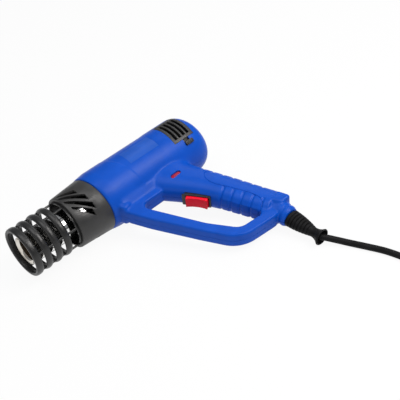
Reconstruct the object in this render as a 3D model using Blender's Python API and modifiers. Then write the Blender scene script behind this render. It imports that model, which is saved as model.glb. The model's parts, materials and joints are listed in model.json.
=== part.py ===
"""A hot air tool lying on its side: two-piece barrel housing with a closed loop handle, guard cage
over a steel outlet tube, heater, motor and fan, air shutter, rocker switch, pilot lamp and mains cord.

Tool axes, under the empty "hot_air_tool": X runs from the outlet to the rear along the barrel axis,
Y points away from the handle, Z is the tool's left side, which faces up as it lies. Units are metres."""

import math

import bmesh
import bpy
import numpy as np
from mathutils import Matrix, Vector

MM = 0.001

# Fits and walls
CLEARANCE = 0.3 * MM
WALL = 2.4 * MM
SPLIT_GAP = 0.3 * MM
ROUND_STEPS = 32
MOTOR_STEPS = 24
BUSH_STEPS = 14

# Barrel radius, which the parts that fit in or on the barrel follow
BARREL_RADIUS = 35.5 * MM

# Guard cage, measured from its front face
CAGE_RADIUS = 29.0 * MM
CAGE_RING_THICKNESS = 5.6 * MM
CAGE_RING_WIDTH = 8.4 * MM
CAGE_FRONT_RING_WIDTH = 8.8 * MM
CAGE_RING_PITCH = 12.9 * MM
CAGE_FIRST_RING_MIDDLE = 3.8 * MM
CAGE_RING_COUNT = 4
CAGE_BAR_COUNT = 6
CAGE_BAR_SIZE = 2.4 * MM
CAGE_SLEEVE_LENGTH = 11.0 * MM
CAGE_SLEEVE_PROUD = 2.0 * MM
CAGE_BAR_OVERLAP = 1.2 * MM
CAGE_SLEEVE_WALL = 1.6 * MM
CAGE_STEPS = 28
CAGE_BAR_TURN = 0.6
CAGE_TRAVEL = 90.0 * MM

# Collar between cage and housing
COLLAR_FRONT = 59.0 * MM
COLLAR_FRONT_RADIUS = 29.6 * MM
COLLAR_EDGE = 0.9 * MM
COLLAR_REAR_RADIUS = BARREL_RADIUS - 2.3 * MM
COLLAR_SPIGOT_STEP = 1.8 * MM
COLLAR_SPIGOT_LENGTH = 8.0 * MM
COLLAR_LIP_LENGTH = 3.4 * MM
COLLAR_SLOT_WIDTH = 4.6 * MM
COLLAR_SLOT_TIP = 0.34
COLLAR_SLOT_STARTS = (62.5, 61.0, 61.5, 63.5)
COLLAR_SLOT_ENDS = (80.0, 84.5, 85.5, 81.5)
COLLAR_SLOT_START_DEG = (66.0, 77.0, 94.0, 114.0)
COLLAR_SLOT_END_DEG = (88.0, 112.0, 134.0, 145.0)

# Housing barrel
HOUSING_FRONT = 97.0 * MM
FLARE_LENGTH = 12.0 * MM
FLARE_RADIUS = BARREL_RADIUS - 1.6 * MM
FLARE_EDGE = 0.6 * MM
FRONT_LEAN_DEG = 6.5
REAR_LEAN_DEG = 5.5
SHOULDER_START = 227.0 * MM
HOUSING_REAR = 246.2 * MM
REAR_FACE_RADIUS = BARREL_RADIUS - 17.0 * MM
RIB_HEIGHT = 2.0 * MM
RIB_WIDTH = 2.0 * MM

# Handle: its axis leaves the barrel axis here and leans back by this angle
HANDLE_ROOT = 172.5 * MM
HANDLE_LEAN_DEG = 20.0
HANDLE_ROUNDNESS = 2.35
HANDLE_CAVITY_START = 27.0 * MM
HANDLE_CAVITY_END = 146.0 * MM

# Guard loop and handle end
GUARD_WIDTH = 18.0 * MM
GUARD_ROUNDING = 2.2 * MM
GUARD_CHANNEL_RADIUS = 3.6 * MM
END_BLOCK_WIDTH = 31.0 * MM
END_BLOCK_ROUNDING = 2.5 * MM
NECK_X = 225.6 * MM
NECK_TOP = 150.0 * MM
NECK_START = 160.0 * MM
NECK_END = 173.0 * MM
NECK_TOP_RADIUS = 12.4 * MM
NECK_END_RADIUS = 10.6 * MM
NECK_BORE_RADIUS = 6.4 * MM

# Intake grilles and the shutter behind them
GRILLE_FRONT = 205.0 * MM
GRILLE_REAR = 233.0 * MM
GRILLE_FROM_DEG = 57.0
GRILLE_TO_DEG = 124.0
GRILLE_SLOT_COUNT = 4
GRILLE_SLOT_PITCH = 5.7 * MM
GRILLE_SLOT_WIDTH = 3.1 * MM
GRILLE_SLOT_FROM_DEG = 68.0
GRILLE_SLOT_TO_DEG = 118.5
SHUTTER_THICKNESS = 1.6 * MM
SHUTTER_TAB_X = 221.6 * MM
SHUTTER_TAB_DEG = 134.0
SHUTTER_TRAVEL = 2.8 * MM
SHUTTER_WINDOW_GROW_DEG = 2.0
SHUTTER_TAB_LENGTH = 10.5 * MM
SHUTTER_TAB_HEIGHT = 5.0 * MM
SHUTTER_TAB_PROUD = 1.8 * MM
SHUTTER_STEM_WIDTH = 4.0 * MM
SHUTTER_STEM_HEIGHT = 3.0 * MM

# Outlet tube and heater
TUBE_FRONT = 4.6 * MM
TUBE_RADIUS = 16.2 * MM
TUBE_WALL = 0.8 * MM
TUBE_FLANGE_RADIUS = BARREL_RADIUS - 5.5 * MM
SLEEVE_FRONT = 9.0 * MM
SLEEVE_WALL = 0.6 * MM
CORE_FRONT = 12.0 * MM
CORE_REAR = 100.0 * MM
CORE_RADIUS = 7.4 * MM
SPIDER_LENGTH = 3.0 * MM
SPIDER_ARM_WIDTH = 2.4 * MM
COIL_RADIUS = 9.8 * MM
COIL_WIRE_RADIUS = 0.8 * MM
COIL_LOOPS = 7
COIL_LOOP_POINTS = 14
HEATER_PLATE_THICKNESS = 2.0 * MM
CUTOUT_SIZE = (4.0 * MM, 9.0 * MM, 6.0 * MM)

# Motor, bracket and fan
BRACKET_FRONT = 158.0 * MM
BRACKET_LENGTH = 12.0 * MM
BRACKET_RING = 2.4 * MM
BRACKET_VANES = 5
MOTOR_RADIUS = 17.5 * MM
MOTOR_FRONT = 156.0 * MM
MOTOR_REAR = 196.0 * MM
MOTOR_WALL = 1.2 * MM
CAP_THICKNESS = 2.0 * MM
MAGNET_THICKNESS = 3.2 * MM
ARMATURE_LENGTH = 24.0 * MM
SHAFT_RADIUS = 1.6 * MM
SHAFT_FRONT = 137.0 * MM
BUSH_RADIUS = 4.0 * MM
COMMUTATOR_RADIUS = 4.6 * MM
BUSH_LENGTH = 4.5 * MM
FAN_RADIUS = BARREL_RADIUS - 5.0 * MM
FAN_FRONT = 138.5 * MM
FAN_REAR = 153.0 * MM
FAN_BLADES = 7

# Switch, on a flat of the handle's inner side
SWITCH_ALONG = 77.6 * MM
SWITCH_SEAT = -21.6 * MM
SWITCH_TILT_DEG = 12.0
BEZEL_LENGTH = 34.8 * MM
BEZEL_WIDTH = 17.4 * MM
BEZEL_THICKNESS = 1.8 * MM
SWITCH_BODY_LENGTH = 29.0 * MM
SWITCH_BODY_WIDTH = 15.2 * MM
SWITCH_BODY_DEPTH = 18.0 * MM
ROCKER_LENGTH = 24.8 * MM
ROCKER_WIDTH = 12.6 * MM
ROCKER_RISE = 4.8 * MM
ROCKER_DISH = 2.2 * MM
ROCKER_PIVOT_DEPTH = 1.2 * MM
ROCKER_PIN_RADIUS = 1.0 * MM
ROCKER_WELL_DEPTH = 8.6 * MM
ROCKER_ROUNDING = 0.5 * MM
TERMINAL_SIZE = (0.8 * MM, 7.5 * MM, 4.8 * MM)
TERMINAL_PITCH = 8.0 * MM

# Pilot lamp on the left side
LAMP_X = 180.0 * MM
LAMP_Y = -45.8 * MM
LAMP_LENGTH = 12.8 * MM
LAMP_WIDTH = 4.8 * MM
LAMP_TOP = 16.3 * MM
LAMP_THICKNESS = 2.6 * MM
LAMP_HOLDER_DEPTH = 7.0 * MM
LAMP_ROUNDING = 0.6 * MM

# Circuit board and its parts, along the handle
BOARD_START = 101.0 * MM
BOARD_LENGTH = 33.0 * MM
BOARD_THICKNESS = 1.6 * MM
BOARD_LEVEL = -4.0 * MM
RECTIFIER_SIZE = (9.0 * MM, 9.0 * MM, 6.0 * MM)
CAPACITOR_SIZE = (10.0 * MM, 18.0 * MM, 9.0 * MM)
RESISTOR_RADIUS = 2.6 * MM
RESISTOR_LENGTH = 14.0 * MM

# Leads inside the housing
LEAD_RADIUS = 0.9 * MM

# Cord entry inside the handle end
CORD_RADIUS = 3.5 * MM
INNER_CORD_TOP = 137.0 * MM
CLAMP_Y = -146.0 * MM
CLAMP_WIDTH = 6.0 * MM
CLAMP_THICKNESS = 3.0 * MM
CLAMP_POST_RADIUS = 2.5 * MM
CLAMP_SCREW_SPACING = 2 * (CORD_RADIUS + CLEARANCE + CLAMP_POST_RADIUS)
CLAMP_LENGTH = CLAMP_SCREW_SPACING + 2 * CLAMP_POST_RADIUS
CLAMP_SCREW_SIZE = 0.73
CLAMP_SCREW_TIP = -6.0 * MM
CLAMP_ROOM = (CLAMP_LENGTH + 1.2 * MM, 17.0 * MM, 19.4 * MM)
CLAMP_ROOM_Y = -142.5 * MM
CLAMP_ROOM_LEVEL = 0.5 * MM
TERMINAL_BLOCK_SIZE = (14.0 * MM, 7.0 * MM, 9.0 * MM)

# Strain relief below the neck: distances below the barrel axis
RELIEF_TOP = 152.0 * MM
RELIEF_FLANGE_AT = 164.0 * MM
RELIEF_FLANGE_LENGTH = 3.0 * MM
RELIEF_FLANGE_RADIUS = 8.4 * MM
RELIEF_BASE_WIDTH = 21.0 * MM
RELIEF_BASE_DEPTH = 17.0 * MM
RELIEF_NECK_AT = 204.0 * MM
RELIEF_NECK_RADIUS = 5.4 * MM
RELIEF_END = 216.0 * MM
RELIEF_BELL_RADIUS = 9.4 * MM
RELIEF_MOUTH_RADIUS = 7.8 * MM
RELIEF_MOUTH_DEPTH = 8.0 * MM
RELIEF_RIBS = 7

# Screws: the heads sit in counterbores on the right side
SCREW_HEAD_RADIUS = 3.1 * MM
SCREW_HEAD_HEIGHT = 2.2 * MM
SCREW_RADIUS = 1.5 * MM
SCREW_TIP = 8.0 * MM
SCREW_STEPS = 8
RECESS_WIDTH = 0.7 * MM
RECESS_DEPTH = 0.9 * MM
SCREW_SEAT = -5.2 * MM
BOSS_RADIUS = 4.2 * MM
BOSS_PLACES = (
    (118.5 * MM, -47.5 * MM),
    (168.8 * MM, -148.6 * MM),
    (207.5 * MM, -153.5 * MM),
    (216.5 * MM, -83.5 * MM),
    (128.0 * MM, BARREL_RADIUS - 5.7 * MM),
    (193.0 * MM, BARREL_RADIUS - 5.7 * MM),
)

# Supply cord: its free stretch, the coil that holds the rest of it, and the plug
CORD_STRAIGHT = 7.0 * MM
CORD_POINT_PITCH = 14.0 * MM
CORD_LIFT = CORD_RADIUS + 0.05 * MM
CORD_HEADING_DEG = -82.0
CORD_LOOPS = 6
CORD_LOOP_POINTS = 24
CORD_LOOP_RADIUS = 41.8 * MM
CORD_TURN_PITCH = 7.7 * MM
CORD_LAYER_PITCH = 7.6 * MM
PLUG_LEAD = 25.0 * MM
PLUG_BOOT_RADIUS = 5.0 * MM
PLUG_WIDTH = 35.0 * MM
PLUG_LENGTH = 46.0 * MM
PLUG_PIN_RADIUS = 2.4 * MM
PLUG_PIN_REACH = 19.0 * MM
PLUG_PIN_SPACING = 19.0 * MM
PLUG_PIN_DEPTH = 6.0 * MM

# Balance point of the whole tool, used to find the face that it lies on
BALANCE_POINT = Vector((168.0 * MM, -38.0 * MM, 0.0))

BARREL_FRAME = Matrix(((0, 0, 1, 0), (1, 0, 0, 0), (0, 1, 0, 0), (0, 0, 0, 1)))
HANDLE_FRAME = Matrix.Translation((HANDLE_ROOT, 0, 0)) @ Matrix.Rotation(
    math.radians(HANDLE_LEAN_DEG - 90), 4, "Z"
)
SWITCH_FRAME = (
    HANDLE_FRAME
    @ Matrix.Translation((SWITCH_ALONG, SWITCH_SEAT, 0))
    @ Matrix.Rotation(math.radians(SWITCH_TILT_DEG), 4, "Z")
)
NECK_FRAME = Matrix(((1, 0, 0, NECK_X), (0, 0, -1, 0), (0, 1, 0, 0), (0, 0, 0, 1)))

# Handle sections: distance along the handle axis, offset towards the back, half depth, half width
HANDLE_SECTIONS = (
    (20.0 * MM, -1.0 * MM, 32.0 * MM, 22.0 * MM),
    (38.0 * MM, -2.5 * MM, 28.0 * MM, 19.0 * MM),
    (50.0 * MM, -2.5 * MM, 24.8 * MM, 17.4 * MM),
    (64.0 * MM, -1.5 * MM, 22.4 * MM, 16.6 * MM),
    (84.0 * MM, -0.2 * MM, 20.2 * MM, 16.0 * MM),
    (105.0 * MM, 0.2 * MM, 19.2 * MM, 15.6 * MM),
    (130.0 * MM, -0.5 * MM, 18.6 * MM, 15.2 * MM),
    (158.0 * MM, -1.0 * MM, 17.6 * MM, 15.0 * MM),
)

# Corners of the guard loop in the tool's XY plane: x, y and corner radius
GUARD_OUTLINE = (
    (107.0 * MM, -30.0 * MM, 0.0),
    (107.0 * MM, -37.0 * MM, 0.0),
    (119.5 * MM, -69.0 * MM, 90.0 * MM),
    (143.0 * MM, -119.5 * MM, 90.0 * MM),
    (163.5 * MM, -159.6 * MM, 34.0 * MM),
    (214.0 * MM, -160.6 * MM, 10.0 * MM),
    (224.0 * MM, -140.0 * MM, 0.0),
    (196.0 * MM, -40.0 * MM, 0.0),
    (190.0 * MM, -26.0 * MM, 0.0),
)
LOOP_OUTLINE = (
    (125.5 * MM, -47.0 * MM, 6.5 * MM),
    (162.5 * MM, -47.0 * MM, 7.0 * MM),
    (186.5 * MM, -90.0 * MM, 60.0 * MM),
    (208.0 * MM, -152.0 * MM, 5.0 * MM),
    (175.0 * MM, -149.0 * MM, 14.0 * MM),
    (156.0 * MM, -118.0 * MM, 60.0 * MM),
)
# Free cord: x and y in the tool's axes, and the height of its middle above the floor
CORD_ROUTE = (
    (227.8 * MM, -217.2 * MM, 8.4 * MM),
    (233.7 * MM, -226.9 * MM, 6.0 * MM),
    (239.8 * MM, -240.0 * MM, 4.2 * MM),
    (246.3 * MM, -257.1 * MM, CORD_LIFT),
    (251.8 * MM, -274.7 * MM, CORD_LIFT),
    (254.8 * MM, -291.9 * MM, CORD_LIFT),
    (260.3 * MM, -332.2 * MM, CORD_LIFT),
)
GUARD_CHANNEL = (
    (121.0 * MM, -56.0 * MM),
    (128.0 * MM, -76.0 * MM),
    (142.0 * MM, -106.0 * MM),
    (156.0 * MM, -133.0 * MM),
    (161.5 * MM, -141.5 * MM),
)
END_BLOCK_OUTLINE = (
    (203.0 * MM, -156.5 * MM, 2.0 * MM),
    (235.8 * MM, -144.9 * MM, 2.5 * MM),
    (240.4 * MM, -160.8 * MM, 2.5 * MM),
    (203.0 * MM, -160.8 * MM, 2.0 * MM),
)


def clear_scene():
    for obj in list(bpy.data.objects):
        bpy.data.objects.remove(obj, do_unlink=True)


def new_collection(name, hidden=False):
    collection = bpy.data.collections.new(name)
    collection.hide_render = hidden
    bpy.context.scene.collection.children.link(collection)
    return collection


def new_material(name, color, roughness, metallic=0.0, alpha=1.0):
    material = bpy.data.materials.new(name)
    material.use_nodes = True
    shader = material.node_tree.nodes["Principled BSDF"]
    shader.inputs["Base Color"].default_value = (*color, 1.0)
    shader.inputs["Roughness"].default_value = roughness
    shader.inputs["Metallic"].default_value = metallic
    shader.inputs["Alpha"].default_value = alpha
    material.diffuse_color = (*color, alpha)
    return material


clear_scene()
PARTS = new_collection("hot_air_tool")
CUTTERS = new_collection("cutters", hidden=True)
TOOL = bpy.data.objects.new("hot_air_tool", None)
PARTS.objects.link(TOOL)

BLUE = new_material("housing_blue", (0.01, 0.08, 0.48), 0.38)
BLACK = new_material("moulded_black", (0.02, 0.02, 0.02), 0.5)
RED = new_material("signal_red", (0.62, 0.01, 0.02), 0.3)
STEEL = new_material("polished_steel", (0.6, 0.58, 0.55), 0.22, 1.0)
ZINC = new_material("zinc_plate", (0.5, 0.51, 0.53), 0.4, 1.0)
BRASS = new_material("brass", (0.7, 0.5, 0.2), 0.35, 1.0)
BRONZE = new_material("bronze", (0.5, 0.3, 0.14), 0.45, 1.0)
MICA = new_material("mica", (0.45, 0.36, 0.24), 0.5)
CERAMIC = new_material("ceramic", (0.75, 0.71, 0.62), 0.7)
WIRE = new_material("resistance_wire", (0.16, 0.13, 0.11), 0.5, 1.0)
IRON = new_material("laminated_iron", (0.2, 0.2, 0.21), 0.5, 1.0)
FERRITE = new_material("ferrite", (0.07, 0.07, 0.08), 0.7)
NYLON = new_material("nylon", (0.72, 0.72, 0.7), 0.55)
BOARD = new_material("board_green", (0.03, 0.2, 0.08), 0.45)
RUBBER = new_material("rubber_black", (0.015, 0.015, 0.015), 0.65)


def place(obj, collection, matrix=None):
    collection.objects.link(obj)
    obj.parent = TOOL
    obj.matrix_local = matrix or Matrix.Identity(4)
    if collection is CUTTERS:
        obj.hide_render = True
        obj.display_type = "WIRE"
    return obj


def from_bmesh(name, shape, matrix=None):
    mesh = bpy.data.meshes.new(name)
    bmesh.ops.recalc_face_normals(shape, faces=shape.faces)
    shape.to_mesh(mesh)
    shape.free()
    return place(bpy.data.objects.new(name, mesh), CUTTERS, matrix)


def as_mesh(obj, name=None):
    """The evaluated object as a plain mesh object; the object it came from is removed."""
    name = name or obj.name
    bpy.context.view_layer.update()
    matrix = obj.matrix_local.copy()
    graph = bpy.context.evaluated_depsgraph_get()
    mesh = bpy.data.meshes.new_from_object(obj.evaluated_get(graph))
    bpy.data.objects.remove(obj, do_unlink=True)
    shape = bmesh.new()
    shape.from_mesh(mesh)
    bmesh.ops.remove_doubles(shape, verts=shape.verts, dist=1e-6)
    bmesh.ops.recalc_face_normals(shape, faces=shape.faces)
    shape.to_mesh(mesh)
    shape.free()
    mesh.name = name
    return place(bpy.data.objects.new(name, mesh), CUTTERS, matrix)


def finish(obj, material, sharp_deg=35.0):
    """Makes a worked shape a named part with its material."""
    CUTTERS.objects.unlink(obj)
    PARTS.objects.link(obj)
    obj.hide_render = False
    obj.display_type = "TEXTURED"
    obj.data.materials.clear()
    obj.data.materials.append(material)
    if obj.type == "MESH":
        obj.data.shade_smooth()
        obj.data.set_sharp_from_angle(angle=math.radians(sharp_deg))
    return obj


def combine(obj, others, operation):
    for other in others:
        modifier = obj.modifiers.new(operation.lower(), "BOOLEAN")
        modifier.operation = operation
        modifier.object = other
    return obj


def worked(obj, add=(), cut=(), keep=()):
    """Joins, cuts and intersects a shape, in that order, and returns the result as a mesh."""
    combine(obj, add, "UNION")
    combine(obj, cut, "DIFFERENCE")
    combine(obj, keep, "INTERSECT")
    return as_mesh(obj)


def turned(name, profile, matrix=BARREL_FRAME, steps=ROUND_STEPS):
    """A solid of revolution about the frame's Z axis from (axial, radius) points around the section."""
    points = list(profile)
    on_axis = points[0][1] == 0.0 and points[-1][1] == 0.0
    ring = points + [points[0]]
    area = sum(a[1] * b[0] - b[1] * a[0] for a, b in zip(ring, ring[1:]))
    if area > 0:
        points.reverse()
    mesh = bpy.data.meshes.new(name)
    edges = [(i, i + 1) for i in range(len(points) - 1)]
    if not on_axis:
        edges.append((len(points) - 1, 0))
    mesh.from_pydata([(radius, 0.0, axial) for axial, radius in points], edges, [])
    obj = place(bpy.data.objects.new(name, mesh), CUTTERS, matrix)
    screw = obj.modifiers.new("turn", "SCREW")
    screw.axis = "Z"
    screw.steps = steps
    screw.render_steps = steps
    screw.use_merge_vertices = True
    screw.merge_threshold = 1e-6
    return as_mesh(obj)


def ring_section(front, rear, inner, outer):
    return [(front, inner), (front, outer), (rear, outer), (rear, inner)]


def disc_section(front, rear, radius):
    return [(front, 0.0), (front, radius), (rear, radius), (rear, 0.0)]


def box(name, size, centre, matrix=None):
    shape = bmesh.new()
    bmesh.ops.create_cube(shape, size=1.0)
    bmesh.ops.scale(shape, vec=size, verts=shape.verts)
    bmesh.ops.translate(shape, vec=centre, verts=shape.verts)
    return from_bmesh(name, shape, matrix)


def cylinder(name, radius, low, high, centre=(0.0, 0.0), matrix=None, steps=12):
    shape = bmesh.new()
    bmesh.ops.create_cone(
        shape, cap_ends=True, segments=steps, radius1=radius, radius2=radius, depth=high - low
    )
    bmesh.ops.translate(shape, vec=(centre[0], centre[1], (low + high) / 2), verts=shape.verts)
    return from_bmesh(name, shape, matrix)


def rounded(corners, step_deg=20.0):
    """Outline points from (x, y, radius) corners, with an arc at each corner that has a radius."""
    points = []
    count = len(corners)
    for i, (x, y, radius) in enumerate(corners):
        here = Vector((x, y))
        if radius == 0.0:
            points.append(here)
            continue
        before = (Vector(corners[i - 1][:2]) - here).normalized()
        after = (Vector(corners[(i + 1) % count][:2]) - here).normalized()
        half = before.angle(after) / 2
        reach = radius / math.tan(half)
        centre = here + (before + after).normalized() * radius / math.sin(half)
        start = here + before * reach - centre
        sweep = (here + after * reach - centre).angle_signed(start)
        steps = max(1, math.ceil(abs(sweep) / math.radians(step_deg)))
        for step in range(steps + 1):
            points.append(centre + Matrix.Rotation(sweep * step / steps, 2) @ start)
    return points


def sector(from_deg, to_deg, inner, outer, step_deg=9.0):
    """Outline of a curved wall: an outer arc and back along an inner one, angles from +Y to +Z."""
    steps = max(2, math.ceil((to_deg - from_deg) / step_deg))
    angles = [math.radians(from_deg + (to_deg - from_deg) * i / steps) for i in range(steps + 1)]
    outside = [Vector((outer * math.cos(a), outer * math.sin(a))) for a in angles]
    inside = [Vector((inner * math.cos(a), inner * math.sin(a))) for a in reversed(angles)]
    return outside + inside


def plate(name, outlines, low, high, matrix=None, rounding=0.0):
    """A flat outline, with any further outlines as holes, filled and extruded from low to high."""
    curve = bpy.data.curves.new(name, "CURVE")
    curve.dimensions = "2D"
    curve.fill_mode = "BOTH"
    curve.extrude = (high - low) / 2 - rounding
    curve.bevel_depth = rounding
    curve.bevel_resolution = 1
    curve.offset = -rounding
    for outline in outlines:
        spline = curve.splines.new("POLY")
        spline.points.add(len(outline) - 1)
        for point, place_at in zip(spline.points, outline):
            point.co = (place_at[0], place_at[1], 0.0, 1.0)
        spline.use_cyclic_u = True
    lift = Matrix.Translation((0, 0, (low + high) / 2))
    obj = place(bpy.data.objects.new(name, curve), CUTTERS, (matrix or Matrix.Identity(4)) @ lift)
    return as_mesh(obj)


def tube(name, points, radius, resolution=2, matrix=None):
    """A round tube with filled caps along a polyline."""
    curve = bpy.data.curves.new(name, "CURVE")
    curve.dimensions = "3D"
    curve.bevel_depth = radius
    curve.bevel_resolution = resolution
    curve.use_fill_caps = True
    spline = curve.splines.new("POLY")
    spline.points.add(len(points) - 1)
    for point, place_at in zip(spline.points, points):
        point.co = (*place_at, 1.0)
    obj = place(bpy.data.objects.new(name, curve), CUTTERS, matrix)
    return as_mesh(obj)


def loft(name, rings, matrix=None):
    """Skins closed rings of equal point counts and closes both ends."""
    shape = bmesh.new()
    rows = [[shape.verts.new(point) for point in ring] for ring in rings]
    for low, high in zip(rows, rows[1:]):
        for i in range(len(low)):
            j = (i + 1) % len(low)
            shape.faces.new((low[i], low[j], high[j], high[i]))
    shape.faces.new(rows[0])
    shape.faces.new(rows[-1])
    return from_bmesh(name, shape, matrix)


def section_ring(along, offset, depth, width, count, power=HANDLE_ROUNDNESS):
    """A rounded section across the handle, in the handle's frame."""
    ring = []
    for i in range(count):
        angle = 2 * math.pi * i / count
        across = math.copysign(abs(math.cos(angle)) ** (2 / power), math.cos(angle))
        aside = math.copysign(abs(math.sin(angle)) ** (2 / power), math.sin(angle))
        ring.append((along, offset + depth * across, width * aside))
    return ring


def handle_size(along):
    """Offset, half depth and half width of the handle at a distance along its axis."""
    stations = [section[0] for section in HANDLE_SECTIONS]
    return [np.interp(along, stations, [s[i] for s in HANDLE_SECTIONS]) for i in (1, 2, 3)]


def handle_loft(name, inset, start, end, count=20):
    stations = [start] + [s[0] for s in HANDLE_SECTIONS if start < s[0] < end] + [end]
    rings = []
    for along in stations:
        offset, depth, width = handle_size(along)
        rings.append(section_ring(along, offset, depth - inset, width - inset, count))
    return loft(name, rings, HANDLE_FRAME)


def shoulder(inset, steps=4):
    """The rounded rear edge of the barrel, as (axial, radius) points, moved inwards by inset."""
    length = HOUSING_REAR - SHOULDER_START
    drop = BARREL_RADIUS - REAR_FACE_RADIUS
    points = []
    for i in range(steps + 1):
        angle = math.pi / 2 * i / steps
        x = SHOULDER_START + (length - inset) * math.sin(angle)
        radius = REAR_FACE_RADIUS + (drop - inset) * math.cos(angle)
        points.append((x, radius))
    return points


def barrel_form():
    flare_end = HOUSING_FRONT + FLARE_LENGTH
    profile = [
        (HOUSING_FRONT, 0.0),
        (HOUSING_FRONT, FLARE_RADIUS - FLARE_EDGE),
        (HOUSING_FRONT + FLARE_EDGE, FLARE_RADIUS),
        (flare_end, BARREL_RADIUS),
        *shoulder(0.0),
        (HOUSING_REAR, 0.0),
    ]
    barrel = turned("barrel_form", profile)
    lean(barrel, SHOULDER_START, flare_end, FRONT_LEAN_DEG)
    lean(barrel, SHOULDER_START, HOUSING_REAR, REAR_LEAN_DEG)
    return barrel


def lean(obj, start, full, degrees):
    """Slants the rings of a turned shape, from none at start to the whole angle past full."""
    slope = math.tan(math.radians(degrees))
    for vertex in obj.data.vertices:
        share = (vertex.co.z - start) / (full - start)
        vertex.co.z -= vertex.co.x * slope * min(max(share, 0.0), 1.0)
    return obj


def housing_form():
    """The outer shape of the closed housing."""
    handle = handle_loft("handle_form", 0.0, HANDLE_SECTIONS[0][0], HANDLE_SECTIONS[-1][0])
    half = GUARD_WIDTH / 2
    outlines = [rounded(GUARD_OUTLINE), rounded(LOOP_OUTLINE)]
    guard = plate("guard_form", outlines, -half, half, rounding=GUARD_ROUNDING)
    half = END_BLOCK_WIDTH / 2
    outline = rounded(END_BLOCK_OUTLINE, 45.0)
    block = plate("end_form", [outline], -half, half, rounding=END_BLOCK_ROUNDING)
    neck = turned(
        "neck_form",
        [
            (NECK_TOP, 0.0),
            (NECK_TOP, NECK_TOP_RADIUS),
            (NECK_START, NECK_TOP_RADIUS),
            (NECK_END, NECK_END_RADIUS),
            (NECK_END, 0.0),
        ],
        NECK_FRAME,
        20,
    )
    return worked(barrel_form(), add=(handle, guard, block, neck))


def rib_profile():
    """The barrel's hollow, narrowed at the ribs that hold the heater plate and the motor bracket."""
    spigot = COLLAR_REAR_RADIUS - COLLAR_SPIGOT_STEP + CLEARANCE
    bore = bore_radius()
    plate_rear = heater_plate_front() + HEATER_PLATE_THICKNESS + CLEARANCE
    mouth = HOUSING_FRONT - 10 * MM
    points = [
        (mouth, 0.0),
        (mouth, spigot),
        (HOUSING_FRONT + COLLAR_SPIGOT_LENGTH - CLEARANCE, spigot),
        (HOUSING_FRONT + COLLAR_SPIGOT_LENGTH - CLEARANCE, bore),
    ]
    ribs = (
        plate_rear,
        BRACKET_FRONT - CLEARANCE - RIB_WIDTH,
        BRACKET_FRONT + BRACKET_LENGTH + CLEARANCE,
    )
    for start in ribs:
        points += [
            (start, bore),
            (start, bore - RIB_HEIGHT),
            (start + RIB_WIDTH, bore - RIB_HEIGHT),
            (start + RIB_WIDTH, bore),
        ]
    for x, radius in shoulder(WALL):
        points.append((x, min(radius, bore)))
    points.append((HOUSING_REAR - WALL, 0.0))
    return points


def bore_radius():
    return BARREL_RADIUS - WALL


def heater_plate_front():
    lip_rear = HOUSING_FRONT + COLLAR_SPIGOT_LENGTH + COLLAR_LIP_LENGTH
    return lip_rear + CLEARANCE + TUBE_WALL + CLEARANCE


def screw_cutters(x, y):
    """Counterbore and clearance hole on the right, pilot hole on the left."""
    deep = -60 * MM
    radius = SCREW_RADIUS + CLEARANCE
    head_radius = SCREW_HEAD_RADIUS + CLEARANCE
    head = cylinder("head_hole", head_radius, deep, SCREW_SEAT, (x, y), steps=10)
    shank = cylinder("shank_hole", radius, SCREW_SEAT - 1 * MM, 1 * MM, (x, y), steps=8)
    pilot = cylinder("pilot_hole", radius, -1 * MM, SCREW_TIP + 1 * MM, (x, y), steps=8)
    return head, shank, pilot


def clamp_post_places():
    return [(NECK_X + side * CLAMP_SCREW_SPACING / 2, CLAMP_Y) for side in (-1, 1)]


def clamp_hole_radius():
    return SCREW_RADIUS * CLAMP_SCREW_SIZE + CLEARANCE


def clamp_level():
    """Height of the underside of the cord clamp."""
    return CORD_RADIUS + CLEARANCE


def housing_cavity():
    """The hollow of the closed housing, with the screw bosses and clamp posts left standing."""
    barrel = turned("barrel_hollow", rib_profile())
    lean(barrel, SHOULDER_START, HOUSING_REAR, REAR_LEAN_DEG)
    handle = handle_loft("handle_hollow", WALL, HANDLE_CAVITY_START, HANDLE_CAVITY_END, 16)
    relief = RELIEF_FLANGE_AT - CLEARANCE
    neck = turned(
        "neck_hollow",
        [
            (HANDLE_CAVITY_END - 12 * MM, 0.0),
            (HANDLE_CAVITY_END - 12 * MM, NECK_BORE_RADIUS),
            (relief, NECK_BORE_RADIUS),
            (relief, RELIEF_FLANGE_RADIUS + CLEARANCE),
            (relief + RELIEF_FLANGE_LENGTH + 2 * CLEARANCE, RELIEF_FLANGE_RADIUS + CLEARANCE),
            (relief + RELIEF_FLANGE_LENGTH + 2 * CLEARANCE, NECK_BORE_RADIUS),
            (NECK_END + 2 * MM, NECK_BORE_RADIUS),
            (NECK_END + 2 * MM, 0.0),
        ],
        NECK_FRAME,
        16,
    )
    room = box("clamp_hollow", CLAMP_ROOM, (NECK_X, CLAMP_ROOM_Y, CLAMP_ROOM_LEVEL))
    channel_points = [(x, y, 0.0) for x, y in GUARD_CHANNEL]
    channel = tube("guard_hollow", channel_points, GUARD_CHANNEL_RADIUS)
    bosses = [
        cylinder("boss", BOSS_RADIUS, -50 * MM, 50 * MM, place_at, steps=10)
        for place_at in BOSS_PLACES
    ]
    posts = [
        cylinder("post", CLAMP_POST_RADIUS, -50 * MM, 0.0, place_at, steps=10)
        for place_at in clamp_post_places()
    ]
    return worked(barrel, add=(handle, neck, room, channel), cut=(*bosses, *posts))


def side_angles(from_deg, to_deg, side):
    """The same stretch on the left (side 1) or mirrored to the right (side -1)."""
    return (from_deg, to_deg) if side > 0 else (-to_deg, -from_deg)


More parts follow.
